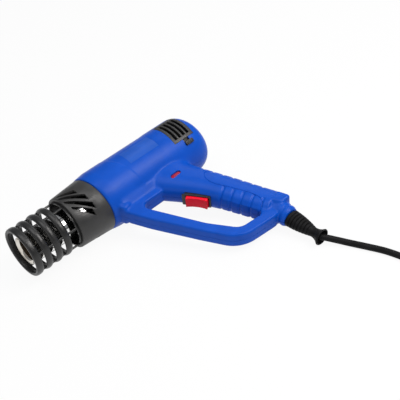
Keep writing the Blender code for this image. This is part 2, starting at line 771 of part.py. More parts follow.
def tab_slot(side):
    """The housing's notch for the shutter's stem, joined to the grille window."""
    half = math.degrees((SHUTTER_STEM_HEIGHT / 2 + 2 * CLEARANCE) / bore_radius())
    angles = side_angles(GRILLE_TO_DEG - 1.0, SHUTTER_TAB_DEG + half, side)
    reach = SHUTTER_STEM_WIDTH / 2 + 2 * CLEARANCE
    outline = sector(*angles, bore_radius() - 4 * MM, BARREL_RADIUS + 4 * MM)
    front = SHUTTER_TAB_X - SHUTTER_TRAVEL - reach
    return plate("tab_slot", [outline], front, SHUTTER_TAB_X + reach, BARREL_FRAME)


def grille_window(side):
    grow = math.degrees(CLEARANCE / bore_radius())
    angles = side_angles(GRILLE_FROM_DEG - grow, GRILLE_TO_DEG + grow, side)
    outline = sector(*angles, bore_radius() - 4 * MM, BARREL_RADIUS + 4 * MM)
    front = GRILLE_FRONT - CLEARANCE
    return plate("grille_window", [outline], front, GRILLE_REAR + CLEARANCE, BARREL_FRAME)


def lamp_outline(grow):
    half_length = LAMP_LENGTH / 2 + grow
    half_width = LAMP_WIDTH / 2 + grow
    corners = [
        (LAMP_X - half_length, LAMP_Y - half_width, half_width * 0.98),
        (LAMP_X + half_length, LAMP_Y - half_width, half_width * 0.98),
        (LAMP_X + half_length, LAMP_Y + half_width, half_width * 0.98),
        (LAMP_X - half_length, LAMP_Y + half_width, half_width * 0.98),
    ]
    return rounded(corners)


def copy_of(obj, name):
    twin = obj.copy()
    twin.data = obj.data.copy()
    twin.name = name
    CUTTERS.objects.link(twin)
    return twin


def build_housing():
    form = housing_form()
    cavity = housing_cavity()
    big = 600 * MM
    upper = box("upper_half", (big, big, big), (0, 0, big / 2 + SPLIT_GAP / 2))
    lower = box("lower_half", (big, big, big), (0, 0, -big / 2 - SPLIT_GAP / 2))
    seat = box(
        "switch_flat",
        (BEZEL_LENGTH + 2 * CLEARANCE, 20 * MM, 60 * MM),
        (0, -10 * MM, 0),
        SWITCH_FRAME,
    )
    window = box(
        "switch_window",
        (SWITCH_BODY_LENGTH + 2 * CLEARANCE, 20 * MM, SWITCH_BODY_WIDTH + 2 * CLEARANCE),
        (0, 5 * MM, 0),
        SWITCH_FRAME,
    )
    lamp = plate("lamp_window", [lamp_outline(CLEARANCE)], 5 * MM, 40 * MM)
    heads, shanks, pilots = zip(*[screw_cutters(x, y) for x, y in BOSS_PLACES])
    posts = [
        cylinder("post_hole", clamp_hole_radius(), CLAMP_SCREW_TIP - 0.5 * MM, 10 * MM, place_at, steps=8)
        for place_at in clamp_post_places()
    ]
    left = worked(
        copy_of(form, "left_housing"),
        cut=(cavity, seat, window, grille_window(1), tab_slot(1), lamp, *pilots),
        keep=(upper,),
    )
    right = worked(
        copy_of(form, "right_housing"),
        cut=(cavity, seat, window, grille_window(-1), tab_slot(-1), *heads, *shanks, *posts),
        keep=(lower,),
    )
    left.name = "left_housing"
    right.name = "right_housing"
    return finish(left, BLUE), finish(right, BLUE)


def grille_slots(side, width, grow_deg, inner, outer):
    """Cutters for the circumferential slots of one side."""
    middle = (GRILLE_FRONT + GRILLE_REAR) / 2
    angles = side_angles(GRILLE_SLOT_FROM_DEG - grow_deg, GRILLE_SLOT_TO_DEG + grow_deg, side)
    cuts = []
    for i in range(GRILLE_SLOT_COUNT):
        x = middle + (i - (GRILLE_SLOT_COUNT - 1) / 2) * GRILLE_SLOT_PITCH
        outline = sector(*angles, inner, outer)
        cuts.append(plate("slot", [outline], x - width / 2, x + width / 2, BARREL_FRAME))
    return cuts


def build_grille(name, side):
    inner = bore_radius()
    outer = BARREL_RADIUS + 2 * MM
    angles = side_angles(GRILLE_FROM_DEG, GRILLE_TO_DEG, side)
    wall = plate(name, [sector(*angles, inner, outer)], GRILLE_FRONT, GRILLE_REAR, BARREL_FRAME)
    cuts = grille_slots(side, GRILLE_SLOT_WIDTH, 0.0, inner - 2 * MM, outer + 2 * MM)
    return finish(worked(wall, cut=cuts, keep=(barrel_form(),)), BLACK)


def shoulder_radius(x, inset):
    """Radius of the rounded rear edge at a place along the barrel."""
    return min(np.interp(x, *zip(*shoulder(inset))), bore_radius())


def build_shutter():
    """A ring that slides along the barrel behind both grilles, with a thumb tab on each side."""
    outer = bore_radius() - CLEARANCE
    rear = GRILLE_REAR - 1.5 * MM
    drop = bore_radius() * math.tan(math.radians(REAR_LEAN_DEG))
    rear_outer = shoulder_radius(rear + drop, WALL) - CLEARANCE
    inner = rear_outer - SHUTTER_THICKNESS
    front = GRILLE_FRONT - 0.5 * MM
    profile = [
        (front, inner),
        (front, outer),
        (SHOULDER_START - 1 * MM, outer),
        (rear, rear_outer),
        (rear, inner),
    ]
    ring = turned("intake_shutter", profile)
    reach = BARREL_RADIUS + CLEARANCE
    base = inner + SHUTTER_THICKNESS / 2
    add = []
    cuts = []
    for side in (1, -1):
        turn = BARREL_FRAME @ Matrix.Rotation(math.radians(SHUTTER_TAB_DEG * side), 4, "Z")
        stem_top = reach + SHUTTER_TAB_PROUD / 2
        stem = (stem_top - base, SHUTTER_STEM_HEIGHT, SHUTTER_STEM_WIDTH)
        add.append(box("stem", stem, ((stem_top + base) / 2, 0, SHUTTER_TAB_X), turn))
        tab = (SHUTTER_TAB_PROUD, SHUTTER_TAB_HEIGHT, SHUTTER_TAB_LENGTH)
        add.append(box("tab", tab, (reach + SHUTTER_TAB_PROUD / 2, 0, SHUTTER_TAB_X), turn))
        width = GRILLE_SLOT_WIDTH - CLEARANCE
        grow = SHUTTER_WINDOW_GROW_DEG
        cuts += grille_slots(side, width, grow, inner - 2 * MM, outer + 2 * MM)
    return finish(worked(ring, add=add, cut=cuts), BLACK)


def build_collar():
    spigot = COLLAR_REAR_RADIUS - COLLAR_SPIGOT_STEP
    lip = bore_radius() - CLEARANCE
    shoulder_x = HOUSING_FRONT - CLEARANCE
    lip_front = HOUSING_FRONT + COLLAR_SPIGOT_LENGTH
    lip_rear = lip_front + COLLAR_LIP_LENGTH
    mouth = cage_sleeve_radius() + CLEARANCE
    seat = COLLAR_FRONT + CAGE_SLEEVE_LENGTH + CLEARANCE
    profile = [
        (COLLAR_FRONT, mouth),
        (COLLAR_FRONT, COLLAR_FRONT_RADIUS - COLLAR_EDGE),
        (COLLAR_FRONT + COLLAR_EDGE, COLLAR_FRONT_RADIUS),
        (shoulder_x - COLLAR_EDGE, COLLAR_REAR_RADIUS),
        (shoulder_x, COLLAR_REAR_RADIUS - COLLAR_EDGE),
        (shoulder_x, spigot),
        (lip_front, spigot),
        (lip_front, lip),
        (lip_rear, lip),
        (lip_rear, spigot - WALL),
        (seat + 1 * MM, mouth + 0.2 * MM),
        (seat, mouth - 1.4 * MM),
        (seat, mouth),
    ]
    collar = turned("nozzle_collar", profile)
    slope = math.tan(math.radians(FRONT_LEAN_DEG))
    for vertex in collar.data.vertices:
        if abs(vertex.co.z - shoulder_x) < 1.5 * COLLAR_EDGE:
            vertex.co.z -= vertex.co.x * slope
    cuts = []
    slots = zip(
        COLLAR_SLOT_STARTS, COLLAR_SLOT_ENDS, COLLAR_SLOT_START_DEG, COLLAR_SLOT_END_DEG
    )
    for start, end, start_deg, end_deg in slots:
        for side in (1, -1):
            cuts.append(spiral_slot(start * MM, end * MM, start_deg * side, end_deg * side))
    return finish(worked(collar, cut=cuts), BLACK)


def spiral_slot(start, end, start_deg, end_deg, steps=3):
    """A cutter that winds round the barrel axis through the collar's wall and widens to the rear."""
    rings = []
    inner = COLLAR_FRONT_RADIUS - 7 * MM
    outer = COLLAR_REAR_RADIUS + 4 * MM
    mean = (COLLAR_FRONT_RADIUS + COLLAR_REAR_RADIUS) / 2
    rise = mean * math.radians(end_deg - start_deg)
    slope = math.atan2(rise, end - start)
    for i in range(steps + 1):
        share = i / steps
        angle = math.radians(start_deg + (end_deg - start_deg) * share)
        width = COLLAR_SLOT_WIDTH / 2 * (COLLAR_SLOT_TIP + (1 - COLLAR_SLOT_TIP) * share**0.6)
        swing = width / (mean * math.cos(slope))
        x = start + (end - start) * share
        ring = []
        for radius, sign in ((inner, -1), (outer, -1), (outer, 1), (inner, 1)):
            turn = angle + sign * swing
            ring.append((radius * math.cos(turn), radius * math.sin(turn), x))
        rings.append(ring)
    return loft("collar_slot", rings, BARREL_FRAME)


def cage_sleeve_radius():
    """Outer radius of the sleeve that pushes into the collar."""
    return COLLAR_FRONT_RADIUS - WALL - CLEARANCE


def cage_ring(name, centre, width):
    """A fat ring with a six-sided section."""
    front = centre - width / 2
    inner = CAGE_RADIUS - CAGE_RING_THICKNESS
    middle = CAGE_RADIUS - CAGE_RING_THICKNESS / 2
    trim = 0.26 * width
    profile = [
        (front + trim, inner),
        (front, middle),
        (front + trim, CAGE_RADIUS),
        (front + width - trim, CAGE_RADIUS),
        (front + width, middle),
        (front + width - trim, inner),
    ]
    return turned(name, profile, steps=CAGE_STEPS)


def build_cage():
    rings = [cage_ring("guard_cage", CAGE_FRONT_RING_WIDTH / 2, CAGE_FRONT_RING_WIDTH)]
    for i in range(1, CAGE_RING_COUNT):
        rings.append(cage_ring("ring", CAGE_FIRST_RING_MIDDLE + i * CAGE_RING_PITCH, CAGE_RING_WIDTH))
    sleeve_radius = cage_sleeve_radius()
    sleeve_front = COLLAR_FRONT - CAGE_SLEEVE_PROUD
    sleeve = turned(
        "sleeve",
        ring_section(
            sleeve_front,
            COLLAR_FRONT + CAGE_SLEEVE_LENGTH,
            sleeve_radius - CAGE_SLEEVE_WALL,
            sleeve_radius,
        ),
        steps=CAGE_STEPS,
    )
    bars = []
    middle = CAGE_RADIUS - CAGE_RING_THICKNESS / 2
    for i in range(CAGE_BAR_COUNT):
        angle = 2 * math.pi * (i + CAGE_BAR_TURN) / CAGE_BAR_COUNT
        turn = BARREL_FRAME @ Matrix.Rotation(angle, 4, "Z")
        low = CAGE_FRONT_RING_WIDTH / 2
        high = sleeve_front + CAGE_BAR_OVERLAP
        size = (CAGE_BAR_SIZE, CAGE_BAR_SIZE, high - low)
        bars.append(box("bar", size, (middle, 0, (high + low) / 2), turn))
    return finish(worked(rings[0], add=(*rings[1:], sleeve, *bars)), BLACK)


def build_outlet_tube():
    flange = HOUSING_FRONT + COLLAR_SPIGOT_LENGTH + COLLAR_LIP_LENGTH + CLEARANCE
    inner = TUBE_RADIUS - TUBE_WALL
    lip = 0.7 * MM
    profile = [
        (TUBE_FRONT + lip / 2, inner),
        (TUBE_FRONT, TUBE_RADIUS - 0.2 * MM),
        (TUBE_FRONT + lip, TUBE_RADIUS + lip),
        (TUBE_FRONT + 2 * lip, TUBE_RADIUS + lip),
        (TUBE_FRONT + 3 * lip, TUBE_RADIUS),
        (flange, TUBE_RADIUS),
        (flange, TUBE_FLANGE_RADIUS),
        (flange + TUBE_WALL, TUBE_FLANGE_RADIUS),
        (flange + TUBE_WALL, inner),
    ]
    return finish(turned("outlet_tube", profile), STEEL)


def build_heater():
    bore = TUBE_RADIUS - TUBE_WALL - CLEARANCE
    rear = heater_plate_front() - CLEARANCE - 1 * MM
    sleeve = turned(
        "insulation_tube", ring_section(SLEEVE_FRONT, rear, bore - SLEEVE_WALL, bore), steps=MOTOR_STEPS
    )
    finish(sleeve, MICA)
    reach = bore - SLEEVE_WALL - CLEARANCE
    core = turned("heater_core", disc_section(CORE_FRONT, CORE_REAR, CORE_RADIUS), steps=BUSH_STEPS)
    arms = []
    for front in (CORE_FRONT + 2 * MM, CORE_REAR - 2 * MM - SPIDER_LENGTH):
        for i in range(2):
            turn = BARREL_FRAME @ Matrix.Rotation(math.pi / 2 * i, 4, "Z")
            size = (2 * reach, SPIDER_ARM_WIDTH, SPIDER_LENGTH)
            shift = 0.05 * MM * i
            arms.append(box("arm", size, (0, 0, front + SPIDER_LENGTH / 2 + shift), turn))
    finish(worked(core, add=arms), CERAMIC)
    build_coil()
    plate_front = heater_plate_front()
    disc = turned(
        "heater_plate",
        ring_section(
            plate_front,
            plate_front + HEATER_PLATE_THICKNESS,
            TUBE_RADIUS - TUBE_WALL,
            bore_radius() - CLEARANCE,
        ),
    )
    finish(disc, MICA)
    low = plate_front + HEATER_PLATE_THICKNESS + CLEARANCE
    cutout = box(
        "thermal_cutout",
        CUTOUT_SIZE,
        (low + CUTOUT_SIZE[0] / 2, (TUBE_RADIUS + bore_radius()) / 2, 0),
    )
    finish(cutout, ZINC)


def build_coil():
    """The heating wire: one helix between the arms of the core, with straight ends."""
    front = CORE_FRONT + 2 * MM + SPIDER_LENGTH + CLEARANCE + 0.1 * MM
    rear = CORE_REAR - 2 * MM - SPIDER_LENGTH - CLEARANCE
    lead = 2 * COIL_WIRE_RADIUS
    helix_front = front + 2 * lead
    helix_rear = rear - 2 * lead
    count = COIL_LOOP_POINTS * COIL_LOOPS
    points = [Vector((front, COIL_RADIUS, 0)), Vector((front + lead, COIL_RADIUS, 0))]
    for i in range(count + 1):
        angle = 2 * math.pi * i / COIL_LOOP_POINTS
        x = helix_front + (helix_rear - helix_front) * i / count
        points.append(Vector((x, COIL_RADIUS * math.cos(angle), COIL_RADIUS * math.sin(angle))))
    points.append(Vector((rear - lead, COIL_RADIUS, 0)))
    points.append(Vector((rear, COIL_RADIUS, 0)))
    gap = (helix_rear - helix_front) / COIL_LOOPS - 2 * COIL_WIRE_RADIUS
    print(f"heater_coil: least gap between turns {gap / MM:.2f} mm")
    finish(tube("heater_coil", points, COIL_WIRE_RADIUS, 1), WIRE)


def build_motor():
    bush_bore = SHAFT_RADIUS + CLEARANCE / 2
    bush_seat = BUSH_RADIUS + CLEARANCE
    inner = MOTOR_RADIUS - MOTOR_WALL
    boss_front = MOTOR_FRONT - 2 * MM
    can = turned(
        "motor_can",
        [
            (MOTOR_FRONT, bush_seat),
            (MOTOR_FRONT, MOTOR_RADIUS),
            (MOTOR_REAR, MOTOR_RADIUS),
            (MOTOR_REAR, inner),
            (MOTOR_FRONT + MOTOR_WALL, inner),
            (MOTOR_FRONT + MOTOR_WALL, bush_seat),
        ],
        steps=MOTOR_STEPS,
    )
    finish(can, ZINC)
    cap_front = MOTOR_REAR + CLEARANCE
    cap = turned(
        "motor_end_cap",
        [
            (MOTOR_REAR - 2 * MM, bush_seat),
            (MOTOR_REAR - 2 * MM, inner - CLEARANCE),
            (cap_front, inner - CLEARANCE),
            (cap_front, MOTOR_RADIUS),
            (cap_front + 2 * MM, MOTOR_RADIUS - 0.6 * MM),
            (cap_front + 2 * MM, bush_seat + 1.4 * MM),
            (cap_front + 4.5 * MM, bush_seat + 1.4 * MM),
            (cap_front + 4.5 * MM, bush_seat),
        ],
        steps=MOTOR_STEPS,
    )
    finish(cap, BLACK)
    front_bush = turned(
        "front_bush", ring_section(boss_front, boss_front + BUSH_LENGTH, bush_bore, BUSH_RADIUS), steps=BUSH_STEPS
    )
    finish(front_bush, BRONZE)
    rear_start = cap_front + 4 * MM - BUSH_LENGTH
    rear_bush = turned(
        "rear_bush", ring_section(rear_start, rear_start + BUSH_LENGTH, bush_bore, BUSH_RADIUS), steps=BUSH_STEPS
    )
    finish(rear_bush, BRONZE)
    shaft_rear = rear_start + BUSH_LENGTH - 0.5 * MM
    finish(turned("motor_shaft", disc_section(SHAFT_FRONT, shaft_rear, SHAFT_RADIUS), steps=BUSH_STEPS), STEEL)
    magnet_outer = inner - CLEARANCE
    magnet_inner = magnet_outer - MAGNET_THICKNESS
    magnet_front = MOTOR_FRONT + MOTOR_WALL + 2 * MM
    for number, centre in ((1, 90.0), (2, 270.0)):
        outline = sector(centre - 66, centre + 66, magnet_inner, magnet_outer, 12.0)
        magnet = plate(
            f"motor_magnet_{number}", [outline], magnet_front, MOTOR_REAR - 5 * MM, BARREL_FRAME
        )
        finish(magnet, FERRITE)
    seat = SHAFT_RADIUS + CLEARANCE
    rotor_front = magnet_front + 2 * MM
    rotor_rear = rotor_front + ARMATURE_LENGTH
    rotor_radius = magnet_inner - 0.6 * MM
    slots = []
    armature = turned(
        "armature", ring_section(rotor_front, rotor_rear, seat, rotor_radius), steps=MOTOR_STEPS
    )
    for i in range(5):
        turn = BARREL_FRAME @ Matrix.Rotation(2 * math.pi * i / 5, 4, "Z")
        size = (4 * MM, 1.4 * MM, ARMATURE_LENGTH + 4 * MM)
        slots.append(box("slot", size, (rotor_radius, 0, (rotor_front + rotor_rear) / 2), turn))
    finish(worked(armature, cut=slots), IRON)
    commutator_front = rotor_rear + 1 * MM
    commutator = turned(
        "commutator", ring_section(commutator_front, commutator_front + 5 * MM, seat, COMMUTATOR_RADIUS), steps=BUSH_STEPS
    )
    finish(commutator, BRASS)


def build_bracket():
    """Outer ring, hub round the motor and straight vanes between them."""
    outer = bore_radius() - CLEARANCE
    hub = MOTOR_RADIUS + CLEARANCE
    rear = BRACKET_FRONT + BRACKET_LENGTH
    ring = turned(
        "motor_bracket", ring_section(BRACKET_FRONT, rear, outer - BRACKET_RING, outer)
    )
    inner_ring = turned("hub", ring_section(BRACKET_FRONT, rear, hub, hub + BRACKET_RING), steps=MOTOR_STEPS)
    vanes = []
    low = hub + BRACKET_RING / 2
    high = outer - BRACKET_RING / 2
    for i in range(BRACKET_VANES):
        turn = BARREL_FRAME @ Matrix.Rotation(2 * math.pi * (i + 0.25) / BRACKET_VANES, 4, "Z")
        size = (high - low, 1.8 * MM, BRACKET_LENGTH - 2 * MM)
        centre = ((high + low) / 2, 0, (BRACKET_FRONT + rear) / 2)
        vanes.append(box("vane", size, centre, turn))
    return finish(worked(ring, add=(inner_ring, *vanes)), BLACK)


def build_fan():
    seat = SHAFT_RADIUS + CLEARANCE
    hub = 6.5 * MM
    plate_thickness = 1.6 * MM
    body = turned(
        "fan_impeller",
        [
            (FAN_FRONT, seat),
            (FAN_FRONT, hub - 1.5 * MM),
            (FAN_REAR - plate_thickness, hub),
            (FAN_REAR - plate_thickness, FAN_RADIUS - 1 * MM),
            (FAN_REAR, FAN_RADIUS - 1 * MM),
            (FAN_REAR, seat),
        ],
        steps=MOTOR_STEPS,
    )
    blades = []
    for i in range(FAN_BLADES):
        turn = (
            BARREL_FRAME
            @ Matrix.Rotation(2 * math.pi * i / FAN_BLADES, 4, "Z")
            @ Matrix.Translation((hub / 2 + FAN_RADIUS / 2, 3 * MM, 0))
            @ Matrix.Rotation(math.radians(-18), 4, "Z")
        )
        length = FAN_RADIUS - hub - 1 * MM
        size = (length, 1.4 * MM, FAN_REAR - FAN_FRONT - 1.5 * MM)
        blades.append(box("blade", size, (0, 0, (FAN_FRONT + FAN_REAR) / 2), turn))
    return finish(worked(body, add=blades), NYLON)


def build_switch():
    wall = (SWITCH_BODY_WIDTH - ROCKER_WIDTH) / 2 - CLEARANCE
    seat = CLEARANCE
    bezel_outline = rounded(
        [
            (-BEZEL_LENGTH / 2, -BEZEL_WIDTH / 2, 1.5 * MM),
            (BEZEL_LENGTH / 2, -BEZEL_WIDTH / 2, 1.5 * MM),
            (BEZEL_LENGTH / 2, BEZEL_WIDTH / 2, 1.5 * MM),
            (-BEZEL_LENGTH / 2, BEZEL_WIDTH / 2, 1.5 * MM),
        ],
        30.0,
    )
    stand = SWITCH_FRAME @ Matrix.Rotation(math.pi / 2, 4, "X")
    bezel = plate("switch_body", [bezel_outline], seat, seat + BEZEL_THICKNESS, stand)
    body = box(
        "body",
        (SWITCH_BODY_LENGTH, SWITCH_BODY_DEPTH, SWITCH_BODY_WIDTH),
        (0, SWITCH_BODY_DEPTH / 2 - seat - 0.5 * MM, 0),
        SWITCH_FRAME,
    )
    well = box(
        "well",
        (ROCKER_LENGTH + 1.2 * MM, 30 * MM, ROCKER_WIDTH + 2 * CLEARANCE),
        (0, ROCKER_WELL_DEPTH - 15 * MM, 0),
        SWITCH_FRAME,
    )
    hole = cylinder(
        "pin_hole",
        ROCKER_PIN_RADIUS + CLEARANCE / 2,
        -SWITCH_BODY_WIDTH,
        SWITCH_BODY_WIDTH,
        (0, ROCKER_PIVOT_DEPTH),
        SWITCH_FRAME,
        12,
    )
    finish(worked(bezel, add=(body,), cut=(well, hole)), BLACK)
    half = SWITCH_BODY_WIDTH / 2
    pin = cylinder(
        "rocker_pin", ROCKER_PIN_RADIUS, -half + wall / 4, half - wall / 4,
        (0, ROCKER_PIVOT_DEPTH), SWITCH_FRAME, 12,
    )
    finish(pin, STEEL)
    build_rocker()
    rear = SWITCH_BODY_DEPTH - seat - 0.5 * MM + CLEARANCE
    for i in range(3):
        blade = box(
            f"switch_terminal_{i + 1}",
            TERMINAL_SIZE,
            ((i - 1) * TERMINAL_PITCH, rear + TERMINAL_SIZE[1] / 2, 0),
            SWITCH_FRAME,
        )
        finish(blade, BRASS)


def build_rocker():
    """Its outer face is dished, and its underside is round about the pivot."""
    half = ROCKER_LENGTH / 2
    top = -(CLEARANCE + BEZEL_THICKNESS + ROCKER_RISE)
    outline = [Vector((-half + 0.5 * MM, top + 0.5 * MM))]
    steps = 8
    for i in range(steps + 1):
        x = -half + 1.2 * MM + (ROCKER_LENGTH - 2.4 * MM) * i / steps
        dish = ROCKER_DISH * (1 - (x / half) ** 2) ** 0.8
        outline.append(Vector((x, top + dish)))
    outline.append(Vector((half - 0.5 * MM, top + 0.5 * MM)))
    outline.append(Vector((half, 0.0)))
    deep = 5.2 * MM
    for i in range(1, steps):
        angle = math.pi * i / steps
        outline.append(Vector((half * 0.92 * math.cos(angle), deep * math.sin(angle) ** 0.8)))
    outline.append(Vector((-half, 0.0)))
    width = ROCKER_WIDTH / 2
    pivot = Vector((0.0, ROCKER_PIVOT_DEPTH))
    frame = SWITCH_FRAME @ Matrix.Translation((0, ROCKER_PIVOT_DEPTH, 0))
    outline = [point - pivot for point in outline]
    shape = plate("rocker", [outline], -width, width, frame, ROCKER_ROUNDING)
    hole = cylinder(
        "rocker_bore", ROCKER_PIN_RADIUS + CLEARANCE / 2, -width * 2, width * 2, (0, 0), frame, 12
    )
    shape = worked(shape, cut=(hole,))
    shape.name = "rocker"
    return finish(shape, RED)


def build_lamp():
    low = LAMP_TOP - LAMP_THICKNESS
    lens = plate("lamp_lens", [lamp_outline(0.0)], low, LAMP_TOP, rounding=LAMP_ROUNDING)
    finish(lens, RED)
    top = LAMP_TOP - LAMP_THICKNESS - CLEARANCE
    holder = box(
        "lamp_holder",
        (LAMP_LENGTH - 2 * MM, LAMP_WIDTH, LAMP_HOLDER_DEPTH),
        (LAMP_X, LAMP_Y, top - LAMP_HOLDER_DEPTH / 2),
    )
    finish(holder, NYLON)


def build_board():
    """The board spans the handle from wall to wall, with its parts above it."""
    end = BOARD_START + BOARD_LENGTH
    lows = []
    highs = []
    for along in (BOARD_START, end, *(section[0] for section in HANDLE_SECTIONS)):
        if BOARD_START <= along <= end:
            offset, depth, width = handle_size(along)
            level = (abs(BOARD_LEVEL) + BOARD_THICKNESS) / (width - WALL)
            reach = (depth - WALL) * (1 - level**HANDLE_ROUNDNESS) ** (1 / HANDLE_ROUNDNESS)
            lows.append(offset - reach)
            highs.append(offset + reach)
    low = max(lows) + 3 * CLEARANCE
    high = min(highs) - 3 * CLEARANCE
    offset = (low + high) / 2
    middle = (BOARD_START + end) / 2
    board = box(
        "circuit_board",
        (BOARD_LENGTH, high - low, BOARD_THICKNESS),
        (middle, offset, BOARD_LEVEL),
        HANDLE_FRAME,
    )
    finish(board, BOARD)
    top = BOARD_LEVEL + BOARD_THICKNESS / 2 + CLEARANCE
    rectifier = box(
        "rectifier",
        RECTIFIER_SIZE,
        (BOARD_START + 6 * MM, offset - 6 * MM, top + RECTIFIER_SIZE[2] / 2),
        HANDLE_FRAME,
    )
    finish(rectifier, BLACK)
    capacitor = box(
        "suppression_capacitor",
        CAPACITOR_SIZE,
        (end - 7 * MM, offset, top + CAPACITOR_SIZE[2] / 2),
        HANDLE_FRAME,
    )
    finish(capacitor, NYLON)
    resistor_frame = (
        HANDLE_FRAME
        @ Matrix.Translation((BOARD_START + 17 * MM, offset, top + RESISTOR_RADIUS))
        @ Matrix.Rotation(math.pi / 2, 4, "X")
    )
    half = RESISTOR_LENGTH / 2
    resistor = cylinder(
        "dropper_resistor", RESISTOR_RADIUS, -half, half, (0, 0), resistor_frame, 14
    )
    finish(resistor, CERAMIC)


def build_leads():
    """One lead from the motor's end cap to the switch, one from the switch to the board."""
    behind_cap = MOTOR_REAR + CAP_THICKNESS + 2 * CLEARANCE + LEAD_RADIUS
    depth = SWITCH_BODY_DEPTH + 3 * MM
    blade = TERMINAL_PITCH + TERMINAL_SIZE[0] / 2 + CLEARANCE
    points = [
        Vector((behind_cap, -11 * MM, 0)),
        Vector((behind_cap, -24 * MM, 0)),
        Vector((behind_cap - 2 * MM, -38 * MM, 0)),
        HANDLE_FRAME @ Vector((50 * MM, -1 * MM, 0)),
        SWITCH_FRAME @ Vector((-blade - 5 * MM, depth, 0)),
        SWITCH_FRAME @ Vector((-blade, depth, 0)),
    ]
    finish(tube("motor_lead", points, LEAD_RADIUS, 1), RUBBER)
    board = BOARD_START - CLEARANCE
    points = [
        SWITCH_FRAME @ Vector((blade, depth, 0)),
        SWITCH_FRAME @ Vector((blade + 4 * MM, depth, 0)),
        HANDLE_FRAME @ Vector((board - 4 * MM, 0, BOARD_LEVEL)),
        HANDLE_FRAME @ Vector((board, 0, BOARD_LEVEL)),
    ]
    finish(tube("switch_lead", points, LEAD_RADIUS, 1), RUBBER)


def build_cord_entry():
    inner_end = RELIEF_TOP - CLEARANCE
    sheath = cylinder(
        "inner_cord", CORD_RADIUS, INNER_CORD_TOP, inner_end, (0, 0), NECK_FRAME, 14
    )
    finish(sheath, RUBBER)
    level = clamp_level()
    clamp = box(
        "cord_clamp",
        (CLAMP_LENGTH, CLAMP_WIDTH, CLAMP_THICKNESS),
        (NECK_X, CLAMP_Y, level + CLAMP_THICKNESS / 2),
    )
    feet = []
    holes = []
    for place_at in clamp_post_places():
        foot_top = level + CLAMP_THICKNESS / 2
        feet.append(
            cylinder("foot", CLAMP_POST_RADIUS, SPLIT_GAP / 2, foot_top, place_at, steps=10)
        )
        holes.append(cylinder("hole", clamp_hole_radius(), -20 * MM, 30 * MM, place_at, steps=8))
    finish(worked(clamp, add=feet, cut=holes), BLACK)
    top = level + CLAMP_THICKNESS + CLEARANCE
    for number, place_at in enumerate(clamp_post_places(), 1):
        name = f"clamp_screw_{number}"
        build_screw(name, place_at, top, CLAMP_SCREW_TIP, -1, CLAMP_SCREW_SIZE)
    block = box(
        "terminal_block",
        TERMINAL_BLOCK_SIZE,
        (
            NECK_X - 6.5 * MM,
            -INNER_CORD_TOP + CLEARANCE + TERMINAL_BLOCK_SIZE[1] / 2,
            0,
        ),
    )
    finish(block, NYLON)


def build_screw(name, place_at, seat, tip, direction, size=1.0):
    """A pan head screw, its head on one height and its tip at another, with a cross recess."""
    head = SCREW_HEAD_RADIUS * size
    shank = SCREW_RADIUS * size
    top = seat - direction * SCREW_HEAD_HEIGHT * size
    profile = [
        (top, 0.0),
        (top, head * 0.7),
        (top + direction * SCREW_HEAD_HEIGHT * size * 0.45, head),
        (seat, head),
        (seat, shank),
        (tip, shank * 0.6),
        (tip, 0.0),
    ]
    frame = Matrix.Translation((place_at[0], place_at[1], 0))
    screw = turned(name, profile, frame, SCREW_STEPS)
    slots = [
        box("recess", (head, RECESS_WIDTH, 2 * RECESS_DEPTH), (0, 0, top), frame),
        box("recess", (RECESS_WIDTH, head, 2.1 * RECESS_DEPTH), (0, 0, top), frame),
    ]
    return finish(worked(screw, cut=slots), ZINC)


def build_screws():
    for number, place_at in enumerate(BOSS_PLACES, 1):
        build_screw(f"housing_screw_{number}", place_at, SCREW_SEAT - CLEARANCE, SCREW_TIP, 1)


def oval(distance, half_width, half_depth, count=16):
    ring = []
    for i in range(count):
        angle = 2 * math.pi * i / count
        ring.append((half_width * math.cos(angle), half_depth * math.sin(angle), distance))
    return ring


